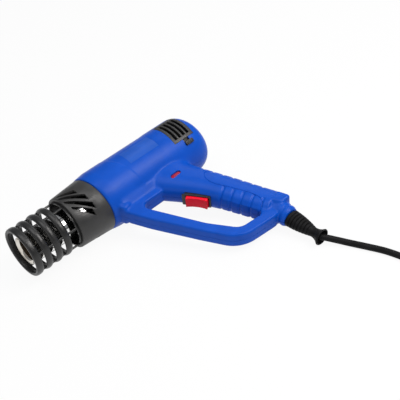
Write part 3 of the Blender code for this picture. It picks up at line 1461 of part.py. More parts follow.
def build_strain_relief():
    """A stub and flange held in the neck, a ribbed taper, a waist and a bell mouth."""
    stub = NECK_BORE_RADIUS - CLEARANCE
    flange_end = RELIEF_FLANGE_AT + RELIEF_FLANGE_LENGTH
    base = NECK_END + CLEARANCE
    width = RELIEF_BASE_WIDTH / 2
    depth = RELIEF_BASE_DEPTH / 2
    hole = CORD_RADIUS + 2 * CLEARANCE
    rings = [
        oval(RELIEF_TOP, stub, stub),
        oval(RELIEF_FLANGE_AT, stub, stub),
        oval(RELIEF_FLANGE_AT + 0.01 * MM, RELIEF_FLANGE_RADIUS, RELIEF_FLANGE_RADIUS),
        oval(flange_end, RELIEF_FLANGE_RADIUS, RELIEF_FLANGE_RADIUS),
        oval(flange_end + 0.01 * MM, stub, stub),
        oval(base, stub, stub),
        oval(base + 0.01 * MM, width - 1 * MM, depth - 1 * MM),
    ]
    ribs_start = base + 1.5 * MM
    rib_pitch = (RELIEF_NECK_AT - 3 * MM - ribs_start) / RELIEF_RIBS
    for i in range(RELIEF_RIBS):
        for share, dip in ((0.0, 0.0), (0.5, 0.0), (0.6, 1.1 * MM), (0.9, 1.1 * MM)):
            at = ribs_start + (i + share) * rib_pitch
            taper = ((at - base) / (RELIEF_NECK_AT - base)) ** 1.2
            half_width = width + (RELIEF_NECK_RADIUS - width) * taper - dip
            half_depth = depth + (RELIEF_NECK_RADIUS - depth) * taper - dip
            rings.append(oval(at, half_width, half_depth))
    rings += [
        oval(RELIEF_NECK_AT, RELIEF_NECK_RADIUS, RELIEF_NECK_RADIUS),
        oval(RELIEF_NECK_AT + 4 * MM, RELIEF_NECK_RADIUS + 0.3 * MM, RELIEF_NECK_RADIUS + 0.3 * MM),
        oval(RELIEF_END - 2.4 * MM, RELIEF_BELL_RADIUS - 0.9 * MM, RELIEF_BELL_RADIUS - 0.9 * MM),
        oval(RELIEF_END - 1 * MM, RELIEF_BELL_RADIUS, RELIEF_BELL_RADIUS),
        oval(RELIEF_END, RELIEF_BELL_RADIUS - 0.5 * MM, RELIEF_BELL_RADIUS - 0.5 * MM),
        oval(RELIEF_END, RELIEF_MOUTH_RADIUS, RELIEF_MOUTH_RADIUS),
        oval(RELIEF_END - RELIEF_MOUTH_DEPTH, hole, hole),
    ]
    return finish(loft("strain_relief", rings, NECK_FRAME), RUBBER)


def smooth_points(knots, pitch):
    """Points on a smooth curve through the knots, with its first and last spans straight."""
    points = [knots[0]]
    for before, start, end, after in zip(knots, knots[1:], knots[2:], knots[3:]):
        span = (end - start).length
        leave = (end - before) * span / (span + (start - before).length)
        arrive = (after - start) * span / (span + (after - end).length)
        count = max(1, round(span / pitch))
        for step in range(count):
            t = step / count
            points.append(
                start * (2 * t**3 - 3 * t**2 + 1)
                + leave * (t**3 - 2 * t**2 + t)
                + end * (3 * t**2 - 2 * t**3)
                + arrive * (t**3 - t**2)
            )
    return points + knots[-2:]


def cord_knots(ahead):
    """The free cord's hand-chosen points, from inside the bell mouth to the coil."""
    depth = RELIEF_END - RELIEF_MOUTH_DEPTH + CLEARANCE
    start = TOOL.matrix_world @ Vector((NECK_X, -depth, 0))
    outwards = (TOOL.matrix_world.to_3x3() @ Vector((0, -1, 0))).normalized()
    knots = [start, start + outwards * CORD_STRAIGHT]
    for x, y, height in CORD_ROUTE:
        spot = TOOL.matrix_world @ Vector((x, y, 0))
        knots.append(Vector((spot.x, spot.y, height)))
    knots.append(knots[-1] + ahead * CORD_STRAIGHT)
    return knots


def coil_points(start, ahead):
    """The wound cord: turns inwards on the floor, a climb at the middle, turns outwards on top."""
    side = Vector((-ahead.y, ahead.x, 0))
    outer = CORD_LOOP_RADIUS + CORD_TURN_PITCH * CORD_LOOPS / 4
    centre = start + ahead * CORD_STRAIGHT + side * outer
    points = [start]
    for i in range(CORD_LOOPS * CORD_LOOP_POINTS + 1):
        turns = i / CORD_LOOP_POINTS
        past_middle = turns - CORD_LOOPS / 2
        radius = outer - CORD_TURN_PITCH * (CORD_LOOPS / 2 - abs(past_middle))
        climb = min(max(2 * past_middle + 0.5, 0.0), 1.0)
        height = CORD_LAYER_PITCH * climb**2 * (3 - 2 * climb)
        angle = 2 * math.pi * turns
        outwards = ahead * math.sin(angle) - side * math.cos(angle)
        points.append(centre + outwards * radius + Vector((0, 0, height)))
    points.append(points[-1] + ahead * PLUG_LEAD)
    return points


def least_gap(points):
    """The least free space between turns, from points that are more than half a loop apart."""
    places = np.array(points)
    apart = CORD_LOOP_POINTS // 2
    least = min(
        np.linalg.norm(places[i + apart :] - places[i], axis=1).min()
        for i in range(len(places) - apart)
    )
    return least - 2 * CORD_RADIUS


def length_of(points):
    return sum((b - a).length for a, b in zip(points, points[1:]))


def build_plug(end, ahead):
    """A flat two-pin plug that lies on the floor."""
    up = Vector((0, 0, 1))
    frame = FLOOR @ Matrix.Translation(end) @ Matrix((up.cross(ahead), up, ahead)).transposed().to_4x4()
    half_width = PLUG_WIDTH / 2
    half_depth = end.z - 0.05 * MM
    rings = [
        oval(0, PLUG_BOOT_RADIUS, PLUG_BOOT_RADIUS),
        oval(PLUG_LENGTH * 0.2, PLUG_BOOT_RADIUS * 1.1, PLUG_BOOT_RADIUS * 1.1),
        oval(PLUG_LENGTH * 0.42, half_width * 0.62, half_depth * 0.82),
        oval(PLUG_LENGTH * 0.58, half_width, half_depth),
        oval(PLUG_LENGTH * 0.94, half_width, half_depth),
        oval(PLUG_LENGTH, half_width * 0.9, half_depth * 0.86),
    ]
    holes = []
    for number, side in ((1, -1), (2, 1)):
        place_at = (side * PLUG_PIN_SPACING / 2, 0.0)
        low = PLUG_LENGTH - PLUG_PIN_DEPTH
        high = PLUG_LENGTH + PLUG_PIN_REACH
        radius = PLUG_PIN_RADIUS + CLEARANCE
        holes.append(cylinder("hole", radius, low, high, place_at, frame, 12))
        pin = cylinder(
            f"plug_pin_{number}", PLUG_PIN_RADIUS, low + CLEARANCE, high, place_at, frame, 12
        )
        finish(pin, STEEL)
    finish(worked(loft("plug_body", rings, frame), cut=holes), BLACK)


def build_cord():
    heading = math.radians(CORD_HEADING_DEG)
    ahead = Vector((math.cos(heading), math.sin(heading), 0))
    free = smooth_points(cord_knots(ahead), CORD_POINT_PITCH)
    finish(tube("supply_cord", free, CORD_RADIUS, 3, FLOOR), RUBBER)
    coil = coil_points(free[-1] + ahead * CLEARANCE, ahead)
    finish(tube("cord_coil", coil, CORD_RADIUS, 1, FLOOR), RUBBER)
    build_plug(coil[-1] + ahead * CLEARANCE, ahead)
    print(f"cord_coil: least gap between turns {least_gap(coil) / MM:.2f} mm")
    print(f"cord: free {length_of(free):.4f} m, coil {length_of(coil):.4f} m")
    print("cord exit", [round(value, 5) for value in free[0]])


def resting_rotation():
    """Turns the hull face that carries the balance point down onto the floor."""
    points = []
    for obj in PARTS.objects:
        if obj.type == "MESH":
            points += [obj.matrix_world @ vertex.co for vertex in obj.data.vertices]
    shape = bmesh.new()
    for point in points:
        shape.verts.new(point)
    bmesh.ops.convex_hull(shape, input=shape.verts)
    best = None
    for face in shape.faces:
        face.normal_update()
        if face.normal.z > -0.9:
            continue
        down = face.normal
        distance = (face.verts[0].co - BALANCE_POINT).dot(down)
        foot = BALANCE_POINT + down * distance
        corners = [vertex.co for vertex in face.verts]
        inside = all(
            (b - a).cross(foot - a).dot(down) > -1e-9
            for a, b in zip(corners, corners[1:] + corners[:1])
        )
        if inside and (best is None or down.z < best.z):
            best = down.copy()
    shape.free()
    return best.rotation_difference(Vector((0, 0, -1)))


def settle():
    """Lays the tool down and puts the origin under the middle of its box."""
    bpy.context.view_layer.update()
    turn = resting_rotation().to_matrix().to_4x4()
    TOOL.matrix_world = turn
    bpy.context.view_layer.update()
    corners = np.array(
        [
            (obj.matrix_world @ vertex.co)[:]
            for obj in PARTS.objects
            if obj.type == "MESH"
            for vertex in obj.data.vertices
        ]
    )
    low = corners.min(axis=0)
    high = corners.max(axis=0)
    shift = Vector((-(low[0] + high[0]) / 2, -(low[1] + high[1]) / 2, -low[2]))
    TOOL.matrix_world = Matrix.Translation(shift) @ turn
    bpy.context.view_layer.update()
    print("tool frame", [[round(value, 6) for value in row] for row in TOOL.matrix_world])
    print("box", (high - low).round(5))


build_housing()
build_grille("left_intake_grille", 1)
build_grille("right_intake_grille", -1)
build_shutter()
build_collar()
build_cage()
build_outlet_tube()
build_heater()
build_motor()
build_bracket()
build_fan()
build_switch()
build_lamp()
build_board()
build_leads()
build_cord_entry()
build_screws()
build_strain_relief()
settle()
FLOOR = TOOL.matrix_world.inverted()
build_cord()
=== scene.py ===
"""Looks of the hot air tool: smooth mouldings, steel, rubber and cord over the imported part.

Tool axes: X runs from the outlet to the rear along the barrel, Y points away from the handle, Z is the
side that faces up as the tool lies. Units are metres."""

import json
from math import atan2, ceil, copysign, cos, degrees, pi, radians, sin, tan

import bmesh
import bpy
import numpy as np
from mathutils import Matrix, Vector
from mathutils.bvhtree import BVHTree

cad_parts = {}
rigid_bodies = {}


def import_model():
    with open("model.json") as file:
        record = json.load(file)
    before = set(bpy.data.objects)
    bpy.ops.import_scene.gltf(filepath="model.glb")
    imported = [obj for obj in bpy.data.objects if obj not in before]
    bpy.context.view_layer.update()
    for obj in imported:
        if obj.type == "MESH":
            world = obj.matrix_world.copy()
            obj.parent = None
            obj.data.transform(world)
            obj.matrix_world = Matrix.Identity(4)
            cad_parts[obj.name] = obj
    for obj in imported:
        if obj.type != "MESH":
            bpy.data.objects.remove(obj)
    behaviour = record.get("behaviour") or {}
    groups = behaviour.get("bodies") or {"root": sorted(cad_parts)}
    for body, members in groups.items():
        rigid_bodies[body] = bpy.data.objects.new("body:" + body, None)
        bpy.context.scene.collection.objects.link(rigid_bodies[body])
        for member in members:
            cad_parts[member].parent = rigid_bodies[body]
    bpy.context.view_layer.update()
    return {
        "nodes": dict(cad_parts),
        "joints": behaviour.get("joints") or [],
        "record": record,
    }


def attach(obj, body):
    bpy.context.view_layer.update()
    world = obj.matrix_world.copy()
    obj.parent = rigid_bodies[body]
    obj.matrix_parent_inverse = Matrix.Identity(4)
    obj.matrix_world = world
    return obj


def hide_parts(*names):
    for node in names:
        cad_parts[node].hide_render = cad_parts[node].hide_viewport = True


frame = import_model()

MM = 0.001


def mm(*values):
    """Millimetres as a tuple of metres."""
    return tuple(value * MM for value in values)


def in_metres(*rows):
    return [mm(*row) for row in rows]


CLEARANCE = 0.3 * MM
WALL = 2.4 * MM
SPLIT_GAP = 0.3 * MM
ROUND_STEPS = 128
OVAL_STEPS = 64
SECTOR_STEP_DEG = 2
ROUNDED_EDGE_DEG = 30
SHARP_EDGE_DEG = 38
VOXEL = 0.8 * MM
SMOOTH_ROUNDS = 6
JOIN_SMOOTH_ROUNDS = 90
BIG = 600 * MM

# Camera that was solved from the photograph, in the tool's axes
CAMERA_PLACE = mm(-245.5, -587, 628.5)
CAMERA_RIGHT = (0.716346, -0.694015, -0.072054)
CAMERA_DOWN = (-0.518174, -0.459987, -0.721046)
CAMERA_FORWARD = (0.467273, 0.553855, -0.68913)
CAMERA_LENS = 75.455

# Studio
SKY_COLOR = (0.94, 0.96, 1, 1)
SKY_STRENGTH = 0.3
LAMP_TARGET = (0.02, -0.02, 0.03)
FLOOR_SIZE = 4
FLOOR_COLOR = (0.82, 0.82, 0.82, 1)
FLOOR_COVER = 0.93

# Housing barrel
HOUSING_FRONT = 97 * MM
FLARE_LENGTH = 12 * MM
FLARE_RADIUS = 33.8 * MM
FLARE_EDGE = 0.6 * MM
BARREL_RADIUS = 35.36 * MM
BORE_RADIUS = 33.1 * MM
FRONT_LEAN_DEG = 6.5
REAR_LEAN_DEG = 5.5
SHOULDER_START = 227 * MM
HOUSING_REAR = 246.1 * MM
REAR_FACE_RADIUS = 18.5 * MM
SKIRT_SPAN = mm(112, 186)
BAND_END = 136.8 * MM
BAND_SLOPE = 0.32
BAND_STEP = 0.35 * MM
WINDOW_INNER = 29 * MM
WINDOW_OUTER = 40 * MM

# Handle, guard loop and handle end
HANDLE_ROOT = 172.5 * MM
HANDLE_LEAN_DEG = 20
HANDLE_ROUNDNESS = 2.35
HANDLE_ENDS_MM = (20, 158)
HOLLOW_ENDS_MM = (27, 146)
GROOVE_DEPTH_MM = 1.35
NOTCH_DEPTH_MM = 1
GROOVE_SPREAD_MM = 1.35
GUARD_WIDTH = 18 * MM
GUARD_ROUNDING = 2.4 * MM
END_BLOCK_WIDTH = 31 * MM
BLOCK_ROUNDING = 2.2 * MM
LUG_WIDTH = 26 * MM
NECK_X = 225.6 * MM
FINGER_GROOVES = (103, 114.5, 126, 137.5, 149)
BACK_NOTCHES = (68, 80, 92, 104, 116, 128, 140)
PANEL_LINE = (
    (80, 17.5), (75.5, 13), (74, 7), (76.5, 0), (82, -3.5), (110, -4.5), (138, -5),
    (145, -7), (149.5, -11.5), (150.5, -16),
)

# Nozzle collar
COLLAR_FRONT = 59 * MM
COLLAR_FRONT_RADIUS = 30.6 * MM
COLLAR_REAR_RADIUS = 33.2 * MM
COLLAR_EDGE = 0.9 * MM
COLLAR_SPIGOT = 31.4 * MM
COLLAR_SLOT_WIDTH = 6 * MM
COLLAR_SLOT_TIP = 0.42
SLOT_INNER = 22 * MM
SLOT_OUTER = 38 * MM
COLLAR_SLOTS = (
    (62.5, 80, 66, 88), (61, 84.5, 77, 112), (61.5, 85.5, 94, 134),
    (63.5, 81.5, 114, 145),
)

# Guard cage and outlet tube
CAGE_RADIUS = 29 * MM
CAGE_THICKNESS = 4.8 * MM
CAGE_FRONT_WIDTH = 8.4 * MM
CAGE_RING_WIDTH = 8 * MM
CAGE_FIRST_MIDDLE = 3.8 * MM
CAGE_PITCH = 12.9 * MM
CAGE_RINGS = 4
CAGE_BARS = 6
CAGE_BAR_TURN = 0.6
CAGE_BAR_OVERLAP = 1.2 * MM
CAGE_BAR_SIZE = 2.4 * MM
CAGE_BAR_RADIUS = 26.2 * MM
SLEEVE_RADIUS = 26.9 * MM
SLEEVE_FRONT = 57 * MM
SLEEVE_REAR = 70 * MM
SLEEVE_WALL = 1.6 * MM
TUBE_FRONT = 4.6 * MM
TUBE_RADIUS = 16.2 * MM
TUBE_WALL = 0.8 * MM
TUBE_FLANGE = 108.7 * MM
FUNNEL_REAR = 7.8 * MM
FUNNEL_RADIUS = 12.9 * MM

# Heating wire
COIL_FRONT = 17.4 * MM
COIL_REAR = 94.7 * MM
COIL_RADIUS = 9.8 * MM
COIL_WIRE = 0.8 * MM
COIL_LOOPS = 7
COIL_LOOP_STEPS = 48

# Intake grilles and shutter
GRILLE_FRONT = 205 * MM
GRILLE_REAR = 233 * MM
GRILLE_DEG = (57, 124)
GRILLE_SLOT_DEG = (68, 118.5)
GRILLE_SLOT_PITCH = 5.7 * MM
GRILLE_SLOT_WIDTH = 3.6 * MM
GRILLE_SLOTS = 4
SHUTTER_STEPS = 96
SHUTTER_REAR_RADIUS = 31 * MM
SHUTTER_THICKNESS = 1.6 * MM
SHUTTER_TAB_X = 221.6 * MM
SHUTTER_TAB_DEG = 134
SHUTTER_TRAVEL = 2.8 * MM

# Bare label on the left side of the barrel
LABEL_SPAN = mm(148, 189)
LABEL_DEG = (72, 108)
LABEL_DEPTH = 0.16 * MM

# Switch, lamp and screws
SWITCH_ALONG = 77.6 * MM
SWITCH_SEAT = -21.6 * MM
SWITCH_TILT_DEG = 12
BEZEL_SIZE = mm(32.6, 15.8, 1.3)
BEZEL_SHIFT = -1.1 * MM
SWITCH_BODY = mm(29, 18, 15.2)
ROCKER_LENGTH = 24.8 * MM
ROCKER_WIDTH = 12.6 * MM
ROCKER_TOP = -6.9 * MM
ROCKER_DISH = 2.2 * MM
ROCKER_PIVOT = 1.2 * MM
LAMP_PLACE = mm(180, -45.8)
LAMP_SIZE = mm(12.8, 4.8)
LAMP_TOP = 16.3 * MM
LAMP_THICKNESS = 2.6 * MM
SCREW_SEAT = -5.5 * MM
SCREW_HEAD = 3.1 * MM
BOSS_RADIUS = 4.2 * MM
SCREW_PLACES = in_metres(
    (118.5, -47.5), (168.8, -148.6), (207.5, -153.5), (216.5, -83.5), (128, 29.8), (193, 29.8)
)

# Strain relief, cord and plug
RELIEF_BASE = 173.3 * MM
RELIEF_NECK = 204 * MM
RELIEF_END = 216 * MM
RELIEF_BASE_SIZE = mm(10.5, 8.5)
RELIEF_NECK_RADIUS = 5.4 * MM
RELIEF_BELL_RADIUS = 9.4 * MM
RELIEF_STUB = 6.1 * MM
RELIEF_RIBS = 7
CORD_RADIUS = 3.5 * MM
CORD_START = 208.3 * MM
CORD_STRAIGHT = 7 * MM
CORD_LIFT_MM = 3.55
CORD_HEADING_DEG = -82
CORD_LOOPS = 6
CORD_LOOP_POINTS = 48
CORD_OUTER_RADIUS = 53.35 * MM
CORD_TURN_PITCH = 7.7 * MM
CORD_LAYER_PITCH = 7.6 * MM
PLUG_LEAD = 25 * MM
PLUG_WIDTH = 35 * MM
PLUG_LENGTH = 46 * MM
CORD_ROUTE = in_metres(
    (227.8, -217.2, 8.4), (233.7, -226.9, 6), (239.8, -240, 4.2), (246.3, -257.1, CORD_LIFT_MM),
    (251.8, -274.7, CORD_LIFT_MM), (254.8, -291.9, CORD_LIFT_MM), (260.3, -332.2, CORD_LIFT_MM),
)

# Handle: place along it, offset, half depth and half width in millimetres
HANDLE_SECTIONS = np.array(
    [
        (20, -1, 31, 18.6), (38, -2.5, 28, 17.9), (50, -2.5, 24.8, 17.1),
        (64, -1.5, 22.4, 16.6), (84, -0.2, 20.2, 16), (105, 0.2, 19.2, 15.6),
        (130, -0.5, 18.6, 15.2), (158, -1, 17.6, 15),
    ]
)
# Corners of flat outlines: x, y and the radius of the arc
GUARD_OUTLINE = in_metres(
    (107, -30, 0), (107, -37, 0), (119.5, -69, 90), (143, -119.5, 90),
    (163.5, -160.5, 34), (219, -165.8, 10), (224, -140, 0), (196, -40, 0),
    (190, -26, 0),
)
LOOP_OUTLINE = in_metres(
    (125.5, -47, 6.5), (162.5, -47, 7), (186.5, -90, 60), (208, -152, 5),
    (175, -149, 14), (156, -118, 60),
)
END_BLOCK_OUTLINE = in_metres(
    (222, -148.5, 0), (235.8, -144.9, 2.8), (240.4, -160.8, 2.8), (224, -160.8, 8),
)
LUG_OUTLINE = in_metres(
    (107, -37.2, 2.8), (107, -20, 0), (118, -20, 0), (119.5, -40.5, 3),
    (109.5, -41.5, 3),
)

NECK_PROFILE = in_metres(
    (150, 0), (150, 12.4), (163.5, 12.4), (164.2, 11.7), (167, 11.3), (167.6, 12),
    (170.2, 11.8), (170.8, 10.9), (173, 10.6), (173, 0),
)

IDENTITY = Matrix.Identity(4)
BARREL_FRAME = Matrix(((0, 0, 1, 0), (1, 0, 0, 0), (0, 1, 0, 0), (0, 0, 0, 1)))
NECK_FRAME = Matrix(((1, 0, 0, NECK_X), (0, 0, -1, 0), (0, 1, 0, 0), (0, 0, 0, 1)))
HANDLE_FRAME = Matrix.Translation((HANDLE_ROOT, 0, 0)) @ Matrix.Rotation(
    radians(HANDLE_LEAN_DEG - 90), 4, "Z"
)
SWITCH_FRAME = (
    HANDLE_FRAME
    @ Matrix.Translation((SWITCH_ALONG, SWITCH_SEAT, 0))
    @ Matrix.Rotation(radians(SWITCH_TILT_DEG), 4, "Z")
)


def tool_frame():
    """The tool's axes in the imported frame, from its joints."""
    joints = {joint["name"]: joint for joint in frame["joints"]}
    along = -Vector(joints["cage_pull_off"]["axis"])
    side = Vector(joints["rocker_pivot"]["axis"])
    up = side.cross(along)
    origin = Vector(joints["cage_pull_off"]["pos_m"]) - along * 30 * MM
    turn = Matrix((along, up, side)).transposed().to_4x4()
    return Matrix.Translation(origin) @ turn


TOOL = tool_frame()
SCRATCH = bpy.data.collections.new("scratch")
bpy.context.scene.collection.children.link(SCRATCH)


def with_settings(item, **settings):
    """Gives a Blender item its settings, in the order they are named."""
    for key, value in settings.items():
        setattr(item, key, value)
    return item


def modify(obj, kind, **settings):
    """Adds a modifier of a kind, with its settings."""
    with_settings(obj.modifiers.new(kind.lower(), kind), **settings)


def placed(data, matrix=IDENTITY):
    """A scratch object of a mesh or curve."""
    obj = bpy.data.objects.new("scratch", data)
    SCRATCH.objects.link(obj)
    obj.matrix_world = matrix
    return obj


def from_bmesh(shape, matrix=IDENTITY):
    mesh = bpy.data.meshes.new("scratch")
    bmesh.ops.recalc_face_normals(shape, faces=shape.faces)
    shape.to_mesh(mesh)
    shape.free()
    return placed(mesh, matrix)


def as_mesh(obj):
    """The evaluated object as a plain mesh object; the object it came from is removed."""
    bpy.context.view_layer.update()
    matrix = obj.matrix_world.copy()
    graph = bpy.context.evaluated_depsgraph_get()
    shape = bmesh.new()
    shape.from_mesh(obj.evaluated_get(graph).to_mesh())
    bpy.data.objects.remove(obj, do_unlink=True)
    bmesh.ops.remove_doubles(shape, verts=shape.verts, dist=1e-6)
    return from_bmesh(shape, matrix)


def worked(obj, add=(), cut=(), keep=()):
    """Joins, cuts and intersects a shape, in that order, and returns the result as a mesh."""
    for operation, others in (("UNION", add), ("DIFFERENCE", cut), ("INTERSECT", keep)):
        for other in others:
            modify(obj, "BOOLEAN", operation=operation, object=other, solver="MANIFOLD")
    return as_mesh(obj)


def rounded_edges(obj, width, segments=2):
    """Rounds the sharp edges of a worked shape."""
    limit = radians(ROUNDED_EDGE_DEG)
    modify(obj, "BEVEL", width=width, segments=segments, limit_method="ANGLE", angle_limit=limit)
    return as_mesh(obj)


def turned(profile, matrix=BARREL_FRAME, steps=ROUND_STEPS):
    """A solid of revolution about the frame's Z axis from (axial, radius) points round the section."""
    points = [tuple(point) for point in profile]
    on_axis = points[0][1] == 0 and points[-1][1] == 0
    ring = points + [points[0]]
    area = sum(a[1] * b[0] - b[1] * a[0] for a, b in zip(ring, ring[1:]))
    if area > 0:
        points.reverse()
    mesh = bpy.data.meshes.new("scratch")
    edges = [(i, i + 1) for i in range(len(points) - 1)]
    if not on_axis:
        edges.append((len(points) - 1, 0))
    mesh.from_pydata([(radius, 0, axial) for axial, radius in points], edges, [])
    obj = placed(mesh, matrix)
    modify(
        obj, "SCREW", axis="Z", steps=steps, render_steps=steps, use_merge_vertices=True,
        merge_threshold=1e-6,
    )
    return as_mesh(obj)


def box(size, centre, matrix=IDENTITY):
    shape = bmesh.new()
    bmesh.ops.create_cube(shape, size=1)
    bmesh.ops.scale(shape, vec=size, verts=shape.verts)
    bmesh.ops.translate(shape, vec=centre, verts=shape.verts)
    return from_bmesh(shape, matrix)


def cylinder(radius, low, high, centre=(0, 0), matrix=IDENTITY, steps=48):
    shape = bmesh.new()
    bmesh.ops.create_cone(
        shape, cap_ends=True, segments=steps, radius1=radius, radius2=radius, depth=high - low
    )
    bmesh.ops.translate(shape, vec=(centre[0], centre[1], (low + high) / 2), verts=shape.verts)
    return from_bmesh(shape, matrix)


def rounded(corners, step_deg=5):
    """Outline points from (x, y, radius) corners, with an arc at each corner that has a radius."""
    points = []
    count = len(corners)
    for i, (x, y, radius) in enumerate(corners):
        here = Vector((x, y))
        if radius == 0:
            points.append(here)
            continue
        before = (Vector(corners[i - 1][:2]) - here).normalized()
        after = (Vector(corners[(i + 1) % count][:2]) - here).normalized()
        half = before.angle(after) / 2
        reach = radius / tan(half)
        centre = here + (before + after).normalized() * radius / sin(half)
        start = here + before * reach - centre
        sweep = (here + after * reach - centre).angle_signed(start)
        steps = max(1, ceil(abs(sweep) / radians(step_deg)))
        for step in range(steps + 1):
            points.append(centre + Matrix.Rotation(sweep * step / steps, 2) @ start)
    return points


def rounded_rectangle(x, y, half_length, half_width, radius, step_deg=5):
    turns = ((-1, -1), (1, -1), (1, 1), (-1, 1))
    corners = [(x + a * half_length, y + b * half_width, radius) for a, b in turns]
    return rounded(corners, step_deg)


def sector(from_deg, to_deg, inner, outer):
    """Outline of a curved wall: an outer arc and back along an inner one, angles from +Y to +Z."""
    steps = max(2, ceil((to_deg - from_deg) / SECTOR_STEP_DEG))
    angles = [radians(from_deg + (to_deg - from_deg) * i / steps) for i in range(steps + 1)]
    outside = [(outer * cos(a), outer * sin(a)) for a in angles]
    return outside + [(inner * cos(a), inner * sin(a)) for a in reversed(angles)]


def curve_through(dimensions, lines, **settings):
    """A curve with one straight-edged spline for each line of points."""
    curve = with_settings(bpy.data.curves.new("scratch", "CURVE"), dimensions=dimensions, **settings)
    for line in lines:
        spline = curve.splines.new("POLY")
        spline.points.add(len(line) - 1)
        spline.use_cyclic_u = dimensions == "2D"
        for point, place_at in zip(spline.points, line):
            point.co = (*place_at, 0)[:3] + (1,)
    return curve


def plate(outlines, low, high, matrix=IDENTITY, rounding=0):
    """A flat outline, with any further outlines as holes, filled and extruded from low to high."""
    curve = curve_through(
        "2D", outlines, fill_mode="BOTH", extrude=(high - low) / 2 - rounding, offset=-rounding,
        bevel_depth=rounding, bevel_resolution=4,
    )
    return as_mesh(placed(curve, matrix @ Matrix.Translation((0, 0, (low + high) / 2))))


def tube(points, radius, resolution):
    """A round tube with filled caps along a polyline."""
    settings = {"bevel_depth": radius, "bevel_resolution": resolution, "use_fill_caps": True}
    return placed(curve_through("3D", [points], **settings))


def loft(rings, matrix=IDENTITY):
    """Skins closed rings of equal point counts and closes both ends."""
    shape = bmesh.new()
    rows = [[shape.verts.new(point) for point in ring] for ring in rings]
    for low, high in zip(rows, rows[1:]):
        for i in range(len(low)):
            j = (i + 1) % len(low)
            shape.faces.new((low[i], low[j], high[j], high[i]))
    shape.faces.new(rows[0])
    shape.faces.new(rows[-1])
    return from_bmesh(shape, matrix)


def smoothstep(value):
    share = np.clip(value, 0, 1)
    return share * share * (3 - 2 * share)


def between(t, start, leave, end, arrive):
    """The place at share t of a smooth span from start to end, with its two end slopes."""
    return (
        start * (2 * t**3 - 3 * t**2 + 1)
        + leave * (t**3 - 2 * t**2 + t)
        + end * (3 * t**2 - 2 * t**3)
        + arrive * (t**3 - t**2)
    )


def smooth_values(at, stations, values):
    """Values along a smooth curve through the stations."""
    slopes = np.gradient(values, stations)
    i = np.clip(np.searchsorted(stations, at, side="right") - 1, 0, len(stations) - 2)
    span = stations[i + 1] - stations[i]
    t = (at - stations[i]) / span
    return between(t, values[i], slopes[i] * span, values[i + 1], slopes[i + 1] * span)


def handle_ring(along_mm, inset, count):
    """A rounded section across the handle, in the handle's frame."""
    offset, depth, width = (
        smooth_values(along_mm, HANDLE_SECTIONS[:, 0], HANDLE_SECTIONS[:, i]) * MM for i in (1, 2, 3)
    )
    angles = 2 * np.pi * np.arange(count) / count
    power = 2 / HANDLE_ROUNDNESS
    across = np.copysign(np.abs(np.cos(angles)) ** power, np.cos(angles))
    aside = np.copysign(np.abs(np.sin(angles)) ** power, np.sin(angles))
    return [
        (along_mm * MM, offset + (depth - inset) * a, (width - inset) * b)
        for a, b in zip(across, aside)
    ]


def handle_loft(inset, start_mm, end_mm, count=72):
    stations = np.linspace(start_mm, end_mm, 2 + int((end_mm - start_mm) / 2.5))
    return loft([handle_ring(along, inset, count) for along in stations], HANDLE_FRAME)


def shoulder(inset, steps=16):
    """The rounded rear edge of the barrel, as (axial, radius) points, moved inwards by inset."""
    length = HOUSING_REAR - SHOULDER_START
    drop = BARREL_RADIUS - REAR_FACE_RADIUS
    angles = [pi / 2 * i / steps for i in range(steps + 1)]
    return [
        (SHOULDER_START + (length - inset) * sin(angle), REAR_FACE_RADIUS + (drop - inset) * cos(angle))
        for angle in angles
    ]


def lean(obj, start, full, lean_deg):
    """Slants the rings of a turned shape, from none at start to the whole angle past full."""
    slope = tan(radians(lean_deg))
    for vertex in obj.data.vertices:
        share = (vertex.co.z - start) / (full - start)
        vertex.co.z -= vertex.co.x * slope * min(max(share, 0), 1)
    return obj


def barrel_form():
    flare_end = HOUSING_FRONT + FLARE_LENGTH
    profile = [
        (HOUSING_FRONT, 0), (HOUSING_FRONT, FLARE_RADIUS - FLARE_EDGE),
        (HOUSING_FRONT + FLARE_EDGE, FLARE_RADIUS), (flare_end - 2 * MM, BARREL_RADIUS - 0.26 * MM),
        (flare_end, BARREL_RADIUS - 0.05 * MM), (flare_end + 2 * MM, BARREL_RADIUS), *shoulder(0),
        (HOUSING_REAR, 0),
    ]
    barrel = turned(profile)
    lean(barrel, SHOULDER_START, flare_end, FRONT_LEAN_DEG)
    lean(barrel, SHOULDER_START, HOUSING_REAR, REAR_LEAN_DEG)
    return barrel


def skirt_form():
    """The fillet between the barrel's underside and the flat guard."""
    flank = [(-18, -29.5), (-36, -12.5), (-40.5, -8)]
    outline = in_metres(*flank, *((y, -z) for y, z in reversed(flank)))
    return plate([outline], *SKIRT_SPAN, BARREL_FRAME)


def housing_form():
    """The outer shape of the closed housing, its joins softened as in one moulding."""
    handle = handle_loft(0, *HANDLE_ENDS_MM)
    half = GUARD_WIDTH / 2
    outlines = [rounded(GUARD_OUTLINE), rounded(LOOP_OUTLINE)]
    guard = plate(outlines, -half, half, rounding=GUARD_ROUNDING)
    half = END_BLOCK_WIDTH / 2
    block = plate([rounded(END_BLOCK_OUTLINE)], -half, half, rounding=BLOCK_ROUNDING)
    half = LUG_WIDTH / 2
    lug = plate([rounded(LUG_OUTLINE)], -half, half, rounding=GUARD_ROUNDING)
    neck = turned(NECK_PROFILE, NECK_FRAME, 64)
    form = worked(barrel_form(), add=(handle, guard, block, lug, skirt_form(), neck))
    modify(form, "REMESH", mode="VOXEL", voxel_size=VOXEL)
    return carved(softened(levelled(as_mesh(form), IDENTITY)))


def levelled(obj, frame_of):
    """Moves a shape's place from its object into its mesh, as seen from another frame."""
    obj.data.transform(frame_of @ obj.matrix_world)
    obj.matrix_world = IDENTITY
    return obj


def points_of(mesh, values="vertices", field="co"):
    items = getattr(mesh, values)
    flat = np.zeros(len(items) * 3)
    items.foreach_get(field, flat)
    return flat.reshape(-1, 3)


